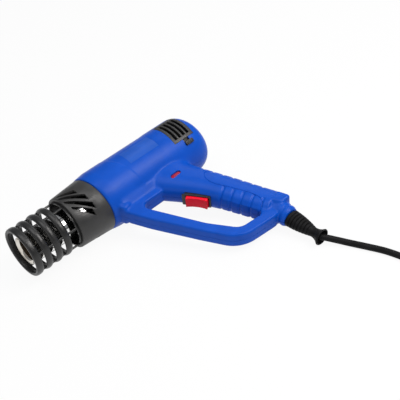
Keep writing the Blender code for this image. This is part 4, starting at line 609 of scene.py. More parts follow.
def softened(form):
    """Takes the steps out of the moulding and melts the handle's root and the skirt into the barrel."""
    x, y, z = points_of(form.data).T / MM
    radius = np.hypot(y, z)
    near = smoothstep((47 - radius) / 4) * smoothstep((radius - 32) / 2)
    near *= smoothstep((-y - 6) / 8)
    weights = near * (0.6 + 0.4 * smoothstep((x - 136) / 16))
    across = (x - 172.5) * 0.94 + y * 0.342
    end = smoothstep((x - 196) / 8) * smoothstep((-y - 138) / 8)
    end *= smoothstep((162 + y) / 3)
    weights = np.maximum(weights, 0.7 * end * smoothstep((6 - across) / 6))
    group = form.vertex_groups.new(name="joins")
    for index in np.flatnonzero(weights > 0.01):
        group.add([int(index)], float(weights[index]), "REPLACE")
    for rounds, joins in ((SMOOTH_ROUNDS, ""), (JOIN_SMOOTH_ROUNDS, group.name)):
        modify(form, "SMOOTH", factor=0.5, iterations=rounds, vertex_group=joins)
    return as_mesh(form)


def carved(form):
    """Sinks the finger grooves, the back notches and the barrel's step into the moulding."""
    mesh = form.data
    places = points_of(mesh)
    normals = points_of(mesh, "vertex_normals", "vector")
    inverse = np.array(HANDLE_FRAME.inverted())
    along, across, aside = (places @ inverse[:3, :3].T + inverse[:3, 3]).T / MM
    sink = np.zeros(len(places))
    grip = smoothstep((across + 4) / -2) * smoothstep((across + 24) / 2)
    back = smoothstep((across - 9) / 4) * (across < 26)
    rows = ((FINGER_GROOVES, GROOVE_DEPTH_MM, grip), (BACK_NOTCHES, NOTCH_DEPTH_MM, back))
    for stations, depth, where in rows:
        for at in stations:
            sink += depth * np.exp(-(((along - at) / GROOVE_SPREAD_MM) ** 2)) * where
    sink *= (np.abs(aside) < 18) * (along < 153)
    x, y, z = places.T
    radius = np.hypot(y, z)
    past = (x - BAND_END + BAND_SLOPE * y) / MM
    band = smoothstep(past / 1.6) * smoothstep((196 * MM - x) / (9 * MM))
    on_barrel = smoothstep((BARREL_RADIUS + 1.2 * MM - radius) / (0.8 * MM)) * (radius > 34 * MM)
    sink += BAND_STEP / MM * band * on_barrel
    places -= normals * (sink * MM)[:, None]
    mesh.vertices.foreach_set("co", places.ravel())
    mesh.update()
    return form


def housing_cavity():
    """The hollow of the closed housing, with the screw bosses left standing."""
    profile = [(87 * MM, 0), (87 * MM, 31.7 * MM), (104.7 * MM, 31.7 * MM), (104.7 * MM, BORE_RADIUS)]
    profile += [(x, min(radius, BORE_RADIUS)) for x, radius in shoulder(WALL, 6)]
    profile.append((HOUSING_REAR - WALL, 0))
    barrel = turned(profile, steps=64)
    lean(barrel, SHOULDER_START, HOUSING_REAR, REAR_LEAN_DEG)
    handle = handle_loft(WALL, *HOLLOW_ENDS_MM, 32)
    neck = cylinder(6.4 * MM, 134 * MM, 175 * MM, matrix=NECK_FRAME)
    room = box(mm(20.2, 17, 19.4), (NECK_X, *mm(-142.5, 0.5)))
    bosses = [cylinder(BOSS_RADIUS, -50 * MM, 50 * MM, spot, steps=24) for spot in SCREW_PLACES]
    return worked(barrel, add=(handle, neck, room), cut=bosses)


def side_angles(angles, side):
    """The same stretch on the left (side 1) or mirrored to the right (side -1)."""
    return angles if side > 0 else (-angles[1], -angles[0])


def barrel_window(angles, front, rear, inner, outer=WINDOW_OUTER):
    return plate([sector(*angles, inner, outer)], front, rear, BARREL_FRAME)


def grille_window(side):
    grow = degrees(CLEARANCE / BORE_RADIUS)
    angles = side_angles((GRILLE_DEG[0] - grow, GRILLE_DEG[1] + grow), side)
    front = GRILLE_FRONT - CLEARANCE
    return barrel_window(angles, front, GRILLE_REAR + CLEARANCE, WINDOW_INNER)


def tab_slot(side):
    half = degrees(2.1 * MM / BORE_RADIUS)
    angles = side_angles((GRILLE_DEG[1] - 1, SHUTTER_TAB_DEG + half), side)
    front = SHUTTER_TAB_X - SHUTTER_TRAVEL - 2.6 * MM
    return barrel_window(angles, front, SHUTTER_TAB_X + 2.6 * MM, WINDOW_INNER)


def lamp_outline(grow):
    half_length = LAMP_SIZE[0] / 2 + grow
    half_width = LAMP_SIZE[1] / 2 + grow
    return rounded_rectangle(*LAMP_PLACE, half_length, half_width, half_width * 0.98, 10)


def panel_lines(form):
    """Slim cutters that follow the handle's sides along the edge of its back panel."""
    tree = BVHTree.FromObject(form, bpy.context.evaluated_depsgraph_get())
    knots = np.array(PANEL_LINE)
    lengths = np.append(0, np.cumsum(np.hypot(*np.diff(knots, axis=0).T)))
    steps = np.arange(0, lengths[-1], 1)
    cutters = []
    for side in (1, -1):
        points = []
        for along, across in zip(*(smooth_values(steps, lengths, knots[:, i]) for i in (0, 1))):
            start = HANDLE_FRAME @ Vector((along * MM, across * MM, 40 * MM * side))
            hit, normal, _, _ = tree.ray_cast(start, Vector((0, 0, -side)))
            points.append(hit + normal * 0.25 * MM)
        cutters.append(as_mesh(tube(points, 0.9 * MM, 2)))
    return cutters


def build_housing():
    form = housing_form()
    lines = panel_lines(form)
    size = (BEZEL_SIZE[0] + 2 * CLEARANCE, 20 * MM, 60 * MM)
    seat = box(size, (BEZEL_SHIFT, -10 * MM, 0), SWITCH_FRAME)
    window = box(
        (SWITCH_BODY[0] + 2 * CLEARANCE, 20 * MM, SWITCH_BODY[2] + 2 * CLEARANCE),
        (0, 5 * MM, 0), SWITCH_FRAME,
    )
    windows = [grille_window(1), grille_window(-1), tab_slot(1), tab_slot(-1)]
    shell = worked(form, cut=(housing_cavity(), seat, window, *windows, *lines))
    upper = box((BIG, BIG, BIG), (0, 0, BIG / 2 + SPLIT_GAP / 2))
    lower = box((BIG, BIG, BIG), (0, 0, -BIG / 2 - SPLIT_GAP / 2))
    lamp = plate([lamp_outline(CLEARANCE)], 5 * MM, 40 * MM)
    label = barrel_window(LABEL_DEG, *LABEL_SPAN, BARREL_RADIUS - BAND_STEP - LABEL_DEPTH)
    heads = [
        cylinder(SCREW_HEAD + CLEARANCE, -60 * MM, -5.2 * MM, spot, steps=32)
        for spot in SCREW_PLACES
    ]
    twin = placed(shell.data.copy())
    left = worked(shell, cut=(lamp, label), keep=(upper,))
    right = worked(twin, cut=heads, keep=(lower,))
    show(left, "left_shell", "housing_blue", "left_housing")
    show(right, "right_shell", "housing_blue", "right_housing")
    radius = BARREL_RADIUS - BAND_STEP
    label = barrel_window(
        (LABEL_DEG[0] + 0.25, LABEL_DEG[1] - 0.25), LABEL_SPAN[0] + 0.2 * MM, LABEL_SPAN[1] - 0.2 * MM,
        radius - LABEL_DEPTH + 0.02 * MM, radius - 0.03 * MM,
    )
    show(label, "bare_label", "housing_blue", look=LABEL)


def grille_slots(side, width, grow_deg):
    middle = (GRILLE_FRONT + GRILLE_REAR) / 2
    angles = side_angles((GRILLE_SLOT_DEG[0] - grow_deg, GRILLE_SLOT_DEG[1] + grow_deg), side)
    cuts = []
    for i in range(GRILLE_SLOTS):
        x = middle + (i - (GRILLE_SLOTS - 1) / 2) * GRILLE_SLOT_PITCH
        cuts.append(barrel_window(angles, x - width / 2, x + width / 2, WINDOW_INNER - 1 * MM))
    return cuts


def build_grilles():
    for name, side in (("left", 1), ("right", -1)):
        angles = side_angles(GRILLE_DEG, side)
        wall = barrel_window(angles, GRILLE_FRONT, GRILLE_REAR, BORE_RADIUS, 38 * MM)
        wall = worked(wall, cut=grille_slots(side, GRILLE_SLOT_WIDTH, 0), keep=(barrel_form(),))
        wall = rounded_edges(wall, 0.35 * MM)
        show(wall, f"{name}_grille_shell", "moulded_black", f"{name}_intake_grille", look=COLLAR)


def build_shutter():
    outer = BORE_RADIUS - CLEARANCE
    rear = GRILLE_REAR - 1.5 * MM
    inner = SHUTTER_REAR_RADIUS - SHUTTER_THICKNESS
    profile = [
        (GRILLE_FRONT - 0.5 * MM, inner), (GRILLE_FRONT - 0.5 * MM, outer),
        (SHOULDER_START - 1 * MM, outer), (rear, SHUTTER_REAR_RADIUS), (rear, inner),
    ]
    ring = turned(profile, steps=SHUTTER_STEPS)
    reach = BARREL_RADIUS + 0.4 * MM
    add = []
    cuts = []
    for side in (1, -1):
        turn = BARREL_FRAME @ Matrix.Rotation(radians(SHUTTER_TAB_DEG * side), 4, "Z")
        size = (reach - inner, *mm(3, 4))
        add.append(box(size, ((reach + inner + 2 * MM) / 2, 0, SHUTTER_TAB_X), turn))
        tab = box(mm(1.8, 5, 10.5), (reach + 0.9 * MM, 0, SHUTTER_TAB_X), turn)
        add.append(rounded_edges(tab, 0.5 * MM, 3))
        for step in (-3, -1, 1, 3):
            centre = (reach + 1.8 * MM, 0, SHUTTER_TAB_X + step * 1.2 * MM)
            cuts.append(box(mm(0.9, 6, 0.7), centre, turn))
        cuts += grille_slots(side, GRILLE_SLOT_WIDTH - CLEARANCE, 2)
    ring = worked(ring, add=add, cut=cuts)
    show(ring, "shutter_shell", "moulded_black", "intake_shutter", body="shutter")


def spiral_slot(start, end, start_deg, end_deg, steps=16):
    """A cutter that winds round the barrel axis through the collar's wall and widens to the rear."""
    mean = (COLLAR_FRONT_RADIUS + COLLAR_REAR_RADIUS) / 2
    rise = mean * radians(end_deg - start_deg)
    slope = atan2(rise, end - start)
    rings = []
    for i in range(steps + 1):
        share = i / steps
        angle = radians(start_deg + (end_deg - start_deg) * share)
        width = COLLAR_SLOT_WIDTH / 2 * (COLLAR_SLOT_TIP + (1 - COLLAR_SLOT_TIP) * share**0.6)
        swing = width / (mean * cos(slope))
        x = start + (end - start) * share
        ring = []
        for radius, sign in ((SLOT_INNER, -1), (SLOT_OUTER, -1), (SLOT_OUTER, 1), (SLOT_INNER, 1)):
            turn = angle + sign * swing
            ring.append((radius * cos(turn), radius * sin(turn), x))
        rings.append(ring)
    return loft(rings, BARREL_FRAME)


def soft_corner(x, radius, edge):
    """A rounded outer corner of a turned profile; a negative edge makes a rear one."""
    drop = abs(edge)
    return [(x, radius - drop), (x + 0.3 * edge, radius - 0.3 * drop), (x + edge, radius)]


def build_collar():
    mouth = SLEEVE_RADIUS + CLEARANCE
    shoulder_x = HOUSING_FRONT - CLEARANCE
    profile = [
        (COLLAR_FRONT, mouth), *soft_corner(COLLAR_FRONT, COLLAR_FRONT_RADIUS, COLLAR_EDGE),
        *reversed(soft_corner(shoulder_x, COLLAR_REAR_RADIUS, -COLLAR_EDGE)), (shoulder_x, COLLAR_SPIGOT),
        (105 * MM, COLLAR_SPIGOT), (105 * MM, 32.8 * MM), (108.4 * MM, 32.8 * MM),
        (108.4 * MM, COLLAR_SPIGOT - WALL), (99 * MM, COLLAR_SPIGOT - WALL), (93 * MM, 30.6 * MM),
        (72.4 * MM, 28.9 * MM), (71.3 * MM, mouth + 0.2 * MM), (70.3 * MM, mouth - 1.4 * MM),
        (70.3 * MM, mouth),
    ]
    collar = turned(profile)
    slope = tan(radians(FRONT_LEAN_DEG))
    for vertex in collar.data.vertices:
        if abs(vertex.co.z - shoulder_x) < 1.5 * COLLAR_EDGE:
            vertex.co.z -= vertex.co.x * slope
    cuts = []
    for start, end, start_deg, end_deg in COLLAR_SLOTS:
        for side in (1, -1):
            cuts.append(spiral_slot(start * MM, end * MM, start_deg * side, end_deg * side))
    collar = rounded_edges(worked(collar, cut=cuts), 0.3 * MM)
    show(collar, "collar_shell", "moulded_black", "nozzle_collar", look=COLLAR)


def cage_ring(centre, width, squareness):
    """A fat ring with a rounded section."""
    profile = []
    for i in range(32):
        angle = 2 * pi * i / 32
        across = copysign(abs(cos(angle)) ** squareness, cos(angle))
        outward = copysign(abs(sin(angle)) ** squareness, sin(angle))
        profile.append((centre + width / 2 * across, CAGE_RADIUS - CAGE_THICKNESS / 2 * (1 - outward)))
    return turned(profile)


def build_cage():
    first = CAGE_FRONT_WIDTH / 2 + 0.02 * MM
    rings = [cage_ring(first, CAGE_FRONT_WIDTH, 0.75)]
    for i in range(1, CAGE_RINGS):
        rings.append(cage_ring(CAGE_FIRST_MIDDLE + i * CAGE_PITCH, CAGE_RING_WIDTH, 1))
    sleeve = turned(
        [
            (SLEEVE_FRONT, SLEEVE_RADIUS - SLEEVE_WALL), (SLEEVE_FRONT, SLEEVE_RADIUS),
            (SLEEVE_REAR, SLEEVE_RADIUS), (SLEEVE_REAR, SLEEVE_RADIUS - SLEEVE_WALL),
        ],
    )
    last = SLEEVE_FRONT + CAGE_BAR_OVERLAP
    size = (CAGE_BAR_SIZE, CAGE_BAR_SIZE, last - first)
    bars = []
    for i in range(CAGE_BARS):
        angle = 2 * pi * (i + CAGE_BAR_TURN) / CAGE_BARS
        turn = BARREL_FRAME @ Matrix.Rotation(angle, 4, "Z")
        bar = box(size, (CAGE_BAR_RADIUS, 0, (last + first) / 2), turn)
        bars.append(rounded_edges(bar, 0.7 * MM, 3))
    cage = worked(rings[0], add=(*rings[1:], sleeve, *bars))
    show(cage, "cage_shell", "moulded_black", "guard_cage", body="cage", look=CAGE)


def build_outlet_tube():
    """A drawn tube with a rolled lip that turns in to a short funnel."""
    inner = TUBE_RADIUS - TUBE_WALL
    profile = [
        (30 * MM, inner), (TUBE_FRONT + 1.9 * MM, inner), (FUNNEL_REAR, FUNNEL_RADIUS + 0.4 * MM),
        (FUNNEL_REAR, FUNNEL_RADIUS), (FUNNEL_REAR - 0.5 * MM, FUNNEL_RADIUS),
        (TUBE_FRONT + 0.5 * MM, inner - 0.2 * MM),
    ]
    for i in range(9):
        angle = pi * (0.75 - i / 8)
        x = TUBE_FRONT + 0.8 * MM - 0.8 * MM * sin(angle)
        profile.append((x, TUBE_RADIUS - 0.2 * MM - 0.75 * MM * cos(angle)))
    profile += [
        (TUBE_FRONT + 2.2 * MM, TUBE_RADIUS), (30 * MM, TUBE_RADIUS), (60 * MM, TUBE_RADIUS),
        (TUBE_FLANGE, TUBE_RADIUS), (TUBE_FLANGE, 30 * MM), (TUBE_FLANGE + TUBE_WALL, 30 * MM),
        (TUBE_FLANGE + TUBE_WALL, inner), (60 * MM, inner),
    ]
    show(turned(profile), "outlet_tube_shell", "polished_steel", "outlet_tube", look=STEEL)


def build_heating_wire():
    lead = 2 * COIL_WIRE
    low = COIL_FRONT + 2 * lead
    high = COIL_REAR - 2 * lead
    count = COIL_LOOP_STEPS * COIL_LOOPS
    points = [(x, COIL_RADIUS, 0) for x in (COIL_FRONT, COIL_FRONT + lead)]
    for i in range(count + 1):
        angle = 2 * pi * i / COIL_LOOP_STEPS
        x = low + (high - low) * i / count
        points.append((x, COIL_RADIUS * cos(angle), COIL_RADIUS * sin(angle)))
    points += [(x, COIL_RADIUS, 0) for x in (COIL_REAR - lead, COIL_REAR)]
    wire = as_mesh(tube(points, COIL_WIRE, 3))
    show(wire, "heating_wire", "resistance_wire", "heater_coil")


def build_switch():
    stand = SWITCH_FRAME @ Matrix.Rotation(pi / 2, 4, "X")
    outline = rounded_rectangle(BEZEL_SHIFT, 0, BEZEL_SIZE[0] / 2, BEZEL_SIZE[1] / 2, 1.5 * MM)
    bezel = plate([outline], CLEARANCE, CLEARANCE + BEZEL_SIZE[2], stand, 0.7 * MM)
    body = box(SWITCH_BODY, (0, SWITCH_BODY[1] / 2 - 0.8 * MM, 0), SWITCH_FRAME)
    well = box(
        (ROCKER_LENGTH + 1.2 * MM, 30 * MM, ROCKER_WIDTH + 2 * CLEARANCE), (0, -6.4 * MM, 0),
        SWITCH_FRAME,
    )
    bezel = rounded_edges(worked(bezel, add=(body,), cut=(well,)), 0.25 * MM)
    show(bezel, "switch_shell", "moulded_black", "switch_body")
    build_rocker()


def build_rocker():
    """Its outer face is dished, and its underside is round about the pivot."""
    half = ROCKER_LENGTH / 2
    outline = [(-half + 0.5 * MM, ROCKER_TOP + 0.5 * MM)]
    for i in range(25):
        x = -half + 1.2 * MM + (ROCKER_LENGTH - 2.4 * MM) * i / 24
        dish = ROCKER_DISH * (1 - (x / half) ** 2) ** 0.8
        outline.append((x, ROCKER_TOP + dish))
    outline += [(half - 0.5 * MM, ROCKER_TOP + 0.5 * MM), (half, 0)]
    for i in range(1, 20):
        angle = pi * i / 20
        outline.append((half * 0.92 * cos(angle), 5.2 * MM * sin(angle) ** 0.8))
    outline.append((-half, 0))
    width = ROCKER_WIDTH / 2
    shape = plate([outline], -width, width, SWITCH_FRAME, 0.6 * MM)
    hole = cylinder(1.15 * MM, -20 * MM, 20 * MM, (0, ROCKER_PIVOT), SWITCH_FRAME)
    show(worked(shape, cut=(hole,)), "rocker_shell", "signal_red", "rocker", body="rocker")


def build_lamp():
    low = LAMP_TOP - LAMP_THICKNESS
    lens = plate([lamp_outline(0)], low, LAMP_TOP, rounding=0.9 * MM)
    show(lens, "lamp_shell", "signal_red", "lamp_lens", look=LENS)


def build_screws():
    top = SCREW_SEAT - 2.2 * MM
    profile = [(top, 0), (top, 1.4 * MM), (top + 0.1 * MM, 2.1 * MM), (top + 0.45 * MM, 2.8 * MM)]
    profile += [
        (top + 1 * MM, SCREW_HEAD), (SCREW_SEAT, SCREW_HEAD), (SCREW_SEAT, 1.5 * MM),
        (8 * MM, 0.9 * MM), (8 * MM, 0),
    ]
    for number, (x, y) in enumerate(SCREW_PLACES, 1):
        spot = Matrix.Translation((x, y, 0)) @ Matrix.Rotation(0.7 * number, 4, "Z")
        screw = turned(profile, spot, 32)
        sizes = in_metres((3.4, 0.75, 2.2), (0.75, 3.4, 2.4))
        screw = worked(screw, cut=[box(size, (0, 0, top), spot) for size in sizes])
        show(screw, f"screw_shell_{number}", "zinc_plate", f"housing_screw_{number}")


def oval(distance, half_width, half_depth):
    angles = [2 * pi * i / OVAL_STEPS for i in range(OVAL_STEPS)]
    return [(half_width * cos(a), half_depth * sin(a), distance) for a in angles]


def build_strain_relief():
    """A stub held in the neck, a ribbed taper, a waist and a bell mouth."""
    rings = [oval(152 * MM, RELIEF_STUB, RELIEF_STUB), oval(RELIEF_BASE, RELIEF_STUB, RELIEF_STUB)]
    ribs_start = RELIEF_BASE + 1.5 * MM
    pitch = (RELIEF_NECK - 3 * MM - ribs_start) / RELIEF_RIBS
    at = RELIEF_BASE + 0.01 * MM
    last = RELIEF_NECK + 0.4 * MM
    while at < last:
        taper = ((at - RELIEF_BASE) / (RELIEF_NECK - RELIEF_BASE)) ** 1.9
        turn = (at - ribs_start) / pitch
        ribbed = 0 < turn < RELIEF_RIBS
        dip = 1.3 * MM * smoothstep((0.62 - abs((turn % 1) - 0.75) * 2.6) / 0.5) if ribbed else 0
        edge = 0.7 * MM * (1 - smoothstep((at - RELIEF_BASE) / (0.9 * MM)))
        size = [s + (RELIEF_NECK_RADIUS - s) * min(taper, 1) - dip - edge for s in RELIEF_BASE_SIZE]
        rings.append(oval(at, *size))
        at += 0.3 * MM
    for i in range(1, 15):
        share = i / 14
        flare = share**2.2
        radius = RELIEF_NECK_RADIUS + (RELIEF_BELL_RADIUS - RELIEF_NECK_RADIUS) * flare
        rings.append(oval(last + (RELIEF_END - 1.2 * MM - last) * share, radius, radius))
    for i in range(1, 9):
        angle = pi * i / 8
        radius = RELIEF_BELL_RADIUS - 0.8 * MM * (1 - cos(angle))
        rings.append(oval(RELIEF_END - 1.2 * MM + 1.2 * MM * sin(angle), radius, radius))
    rings.append(oval(RELIEF_END - 4 * MM, 5.6 * MM, 5.6 * MM))
    rings.append(oval(RELIEF_END - 8 * MM, 4.1 * MM, 4.1 * MM))
    relief = loft(rings, NECK_FRAME)
    show(relief, "relief_shell", "rubber_black", "strain_relief")


def smooth_points(knots, pitch):
    """Points on a smooth curve through the knots, with its first and last spans straight."""
    points = [knots[0]]
    for before, start, end, after in zip(knots, knots[1:], knots[2:], knots[3:]):
        span = (end - start).length
        leave = (end - before) * span / (span + (start - before).length)
        arrive = (after - start) * span / (span + (after - end).length)
        count = max(1, round(span / pitch))
        points += [between(step / count, start, leave, end, arrive) for step in range(count)]
    return points + knots[-2:]


def cord_knots(ahead):
    start = TOOL @ Vector((NECK_X, -CORD_START, 0))
    outwards = (TOOL.to_3x3() @ Vector((0, -1, 0))).normalized()
    knots = [start, start + outwards * CORD_STRAIGHT]
    for x, y, height in CORD_ROUTE:
        spot = TOOL @ Vector((x, y, 0))
        knots.append(Vector((spot.x, spot.y, height)))
    knots.append(knots[-1] + ahead * CORD_STRAIGHT)
    return knots


def coil_points(start, ahead):
    """The wound cord: turns inwards on the floor, a climb at the middle, turns outwards on top."""
    side = Vector((-ahead.y, ahead.x, 0))
    centre = start + ahead * CORD_STRAIGHT + side * CORD_OUTER_RADIUS
    points = [start]
    for i in range(CORD_LOOPS * CORD_LOOP_POINTS + 1):
        turns = i / CORD_LOOP_POINTS
        past_middle = turns - CORD_LOOPS / 2
        radius = CORD_OUTER_RADIUS - CORD_TURN_PITCH * (CORD_LOOPS / 2 - abs(past_middle))
        climb = min(max(2 * past_middle + 0.5, 0), 1)
        height = CORD_LAYER_PITCH * climb**2 * (3 - 2 * climb)
        angle = 2 * pi * turns
        outwards = ahead * sin(angle) - side * cos(angle)
        points.append(centre + outwards * radius + Vector((0, 0, height)))
    points.append(points[-1] + ahead * PLUG_LEAD)
    return points


def build_cord():
    heading = radians(CORD_HEADING_DEG)
    ahead = Vector((cos(heading), sin(heading), 0))
    free = smooth_points(cord_knots(ahead), 3.5 * MM)
    coil = coil_points(free[-1] + ahead * CLEARANCE, ahead)
    cord = tube(free + coil[1:], CORD_RADIUS, 6)
    plug = build_plug(coil[-1] + ahead * CLEARANCE, ahead)
    dress(cord, "power_cord", "rubber_black", "supply_cord", "cord_coil")
    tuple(free[0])


def build_plug(end, ahead):
    """A flat two-pin plug with grip ridges, lying on the floor."""
    up = Vector((0, 0, 1))
    axes = Matrix((up.cross(ahead), up, ahead)).transposed().to_4x4()
    spot = TOOL.inverted() @ Matrix.Translation(end) @ axes
    half_width = PLUG_WIDTH / 2
    half_depth = end.z - 0.05 * MM
    stations = np.array([0, 0.2, 0.42, 0.58, 0.8, 0.94])
    widths = np.array([5 * MM, 5.5 * MM, half_width * 0.62, half_width, half_width, half_width])
    depths = np.array([5 * MM, 5.5 * MM, half_depth * 0.82, half_depth, half_depth, half_depth])
    rings = []
    for share in np.linspace(0, 0.94, 95):
        width = min(smooth_values(share, stations, widths), half_width)
        depth = min(smooth_values(share, stations, depths), half_depth)
        groove = 0.45 * MM * max(0, sin(2 * pi * share * 14)) ** 2 * (share < 0.38)
        rings.append(oval(PLUG_LENGTH * share, width - groove, depth - groove))
    for i in range(1, 7):
        angle = pi / 2 * i / 6
        drop = 1.6 * MM * (1 - cos(angle))
        at = PLUG_LENGTH * 0.94 + PLUG_LENGTH * 0.06 * sin(angle)
        rings.append(oval(at, half_width - drop, half_depth - drop))
    holes = [
        cylinder(2.7 * MM, 40 * MM, 60 * MM, (side * 9.5 * MM, 0), spot) for side in (-1, 1)
    ]
    plug = worked(loft(rings, spot), cut=holes)
    return show(plug, "plug_shell", "rubber_black", "plug_body")


def link(obj):
    bpy.context.scene.collection.objects.link(obj)
    return obj


def dress(obj, name, slot, *nodes, body="tool", look=None):
    """Names a finished piece, gives it its slot's look or its own, and sets it on its body."""
    SCRATCH.objects.unlink(obj)
    link(obj)
    obj.name = name
    obj.data.name = name
    obj.data.materials.clear()
    obj.data.materials.append(look or SLOT_LOOKS[slot])
    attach(obj, body)
    if nodes:
        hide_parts(*nodes)
    return obj


def show(obj, name, slot, *nodes, **options):
    """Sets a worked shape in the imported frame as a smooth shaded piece."""
    levelled(obj, TOOL)
    obj.data.shade_smooth()
    obj.data.set_sharp_from_angle(angle=radians(SHARP_EDGE_DEG))
    return dress(obj, name, slot, *nodes, **options)


def set_inputs(tree, node, values):
    """Links or sets each input of a node, by its name or number."""
    for key, value in values.items():
        if isinstance(value, bpy.types.NodeSocket):
            tree.links.new(value, node.inputs[key])
        else:
            node.inputs[key].default_value = value


def add_node(tree, kind, inputs=None, **settings):
    """Adds a shader node of a kind, with its inputs and settings."""
    node = with_settings(tree.nodes.new("ShaderNode" + kind), **settings)
    set_inputs(tree, node, inputs or {})
    return node


class Nodes:
    """Short calls for the node tree of one material."""

    def __init__(self, name, **inputs):
        self.material = bpy.data.materials.new(name)
        self.material.use_nodes = True
        self.tree = self.material.node_tree
        self.shader = self.tree.nodes["Principled BSDF"]
        set_inputs(self.tree, self.shader, {key.replace("_", " "): inputs[key] for key in inputs})
        self.coordinates = self.add("TexCoord").outputs["Object"]

    def add(self, kind, inputs=None, **settings):
        return add_node(self.tree, kind, inputs, **settings)

    def noise(self, scale, detail=3, stretch=(1, 1, 1), distortion=0):
        links = {"Vector": self.coordinates, "Scale": stretch}
        moved = self.add("Mapping", links).outputs["Vector"]
        links = {"Vector": moved, "Scale": scale, "Detail": detail, "Distortion": distortion}
        return self.add("TexNoise", links).outputs["Fac"]

    def ramp(self, value, *stops):
        node = self.add("ValToRGB", {"Fac": value})
        elements = node.color_ramp.elements
        while len(elements) < len(stops):
            elements.new(0.5)
        for element, (at, color) in zip(elements, stops):
            element.position = at
            element.color = (*color, 1)
        return node.outputs["Color"]

    def mapped(self, value, low, high, from_low=0.3, from_high=0.7):
        ends = {"From Min": from_low, "From Max": from_high, "To Min": low, "To Max": high}
        return self.add("MapRange", {"Value": value, **ends}).outputs["Result"]

    def multiplied(self, first, second):
        links = {0: 1, 6: first, 7: second}
        return self.add("Mix", links, data_type="RGBA", blend_type="MULTIPLY").outputs[2]

    def math(self, operation, first, second):
        return self.add("Math", {0: first, 1: second}, operation=operation).outputs[0]

    def finished(self, color, roughness, height, strength, distance_mm):
        """Sets the colour, the roughness and the relief, and returns the material."""
        links = {"Height": height, "Strength": strength, "Distance": distance_mm * MM}
        normal = self.add("Bump", links).outputs["Normal"]
        links = {"Base Color": color, "Roughness": roughness, "Normal": normal}
        set_inputs(self.tree, self.shader, links)
        return self.material


def moulded(name, dark, light, rough, grain=2600, relief=0.12, **inputs):
    """Injection moulded plastic: fine grain, faint flow marks and small rubbed patches."""
    look = Nodes(name, **inputs)
    flow = look.noise(38, 4, (1, 1.6, 0.7), 0.6)
    rubbed = look.noise(210, 6)
    color = look.ramp(flow, (0.32, dark), (0.7, light))
    patches = look.math("MULTIPLY", look.mapped(rubbed, 0, 1, 0.52, 0.74), 0.07)
    roughness = look.math("ADD", look.mapped(flow, *rough), patches)
    return look.finished(color, roughness, look.noise(grain, 2), relief, 0.06)


def steel_look():
    """Bright drawn tube: rings left by turning, and heat tints towards the outlet."""
    look = Nodes("drawn_steel", Metallic=1)
    rings = look.noise(30, 3, (40, 0.4, 0.4))
    cloud = look.noise(35, 3)
    place_x = look.add("SeparateXYZ", {"Vector": look.coordinates}).outputs["X"]
    heat = look.mapped(place_x, 1, 0, -0.1195, -0.088)
    heat = look.math("MULTIPLY", heat, look.mapped(cloud, 0.35, 1))
    tint = look.ramp(heat, (0, (0.74, 0.74, 0.73)), (0.5, (0.7, 0.68, 0.63)), (1, (0.52, 0.46, 0.39)))
    return look.finished(tint, look.mapped(rings, 0.04, 0.1), rings, 0.02, 0.03)


def metal(name, dark, light, rough, scale=160, stretch=(1, 1, 1)):
    look = Nodes(name, Metallic=1)
    cloud = look.noise(scale, 5, stretch)
    color = look.ramp(cloud, (0.3, dark), (0.72, light))
    return look.finished(color, look.mapped(cloud, *rough), look.noise(scale * 9, 3), 0.08, 0.05)


def mineral(name, dark, light, rough, scale=240):
    look = Nodes(name)
    cloud = look.noise(scale, 6)
    specks = look.noise(scale * 6, 2)
    color = look.ramp(cloud, (0.3, dark), (0.72, light))
    shade = look.ramp(specks, (0.34, (0.6, 0.58, 0.55)), (0.5, (1, 1, 1)))
    color = look.multiplied(color, shade)
    return look.finished(color, look.mapped(cloud, *rough), specks, 0.3, 0.08)


def lens_look():
    """Red lamp lens: clear plastic with a fine moulded texture inside."""
    look = Nodes("lamp_red", IOR=1.3, Transmission_Weight=0.2)
    cells = look.add("TexVoronoi", {"Vector": look.coordinates, "Scale": 900}).outputs["Distance"]
    color = look.ramp(cells, (0, (0.55, 0.02, 0.07)), (0.8, (0.3, 0, 0.03)))
    return look.finished(color, look.mapped(look.noise(300), 0.12, 0.24), cells, 0.15, 0.1)


def rubber_look():
    look = Nodes("rubber", Specular_IOR_Level=0.1)
    cloud = look.noise(90, 5)
    dust = look.noise(700, 6)
    color = look.ramp(cloud, (0.3, (0.005, 0.005, 0.005)), (0.75, (0.011, 0.011, 0.012)))
    return look.finished(color, look.mapped(dust, 0.42, 0.58), look.noise(1500, 4), 0.2, 0.08)


BLUE = moulded(
    "housing_blue_look", (0.001, 0.065, 0.43), (0.002, 0.076, 0.49), (0.32, 0.4), Specular_IOR_Level=0.15
)
LABEL = moulded(
    "label_look", (0.008, 0.08, 0.43), (0.012, 0.092, 0.48), (0.28, 0.36), 900, 0.03,
    Specular_IOR_Level=0.3,
)
BLACK = moulded("moulded_black_look", (0.009, 0.009, 0.009), (0.016, 0.015, 0.015), (0.36, 0.48))
COLLAR = moulded("collar_look", (0.02, 0.02, 0.02), (0.032, 0.031, 0.03), (0.4, 0.5), 2200, 0.16)
CAGE = moulded("cage_look", (0.008, 0.008, 0.008), (0.014, 0.014, 0.014), (0.3, 0.4), 2400, 0.14)
RED = moulded(
    "rocker_look", (0.76, 0.003, 0.017), (0.86, 0.005, 0.025), (0.24, 0.34), 1800, 0.05,
    Specular_IOR_Level=0.16,
)
NYLON = moulded("nylon_look", (0.62, 0.62, 0.59), (0.74, 0.74, 0.71), (0.45, 0.6))
BOARD = moulded("board_look", (0.02, 0.15, 0.06), (0.04, 0.24, 0.09), (0.3, 0.45), 1300, 0.2)
STEEL = steel_look()
LENS = lens_look()
RUBBER = rubber_look()
ZINC = metal("zinc_look", (0.42, 0.43, 0.45), (0.6, 0.61, 0.62), (0.3, 0.48))
BRASS = metal("brass_look", (0.58, 0.4, 0.14), (0.76, 0.56, 0.24), (0.25, 0.42))
BRONZE = metal("bronze_look", (0.4, 0.24, 0.11), (0.56, 0.34, 0.17), (0.35, 0.55), 900)
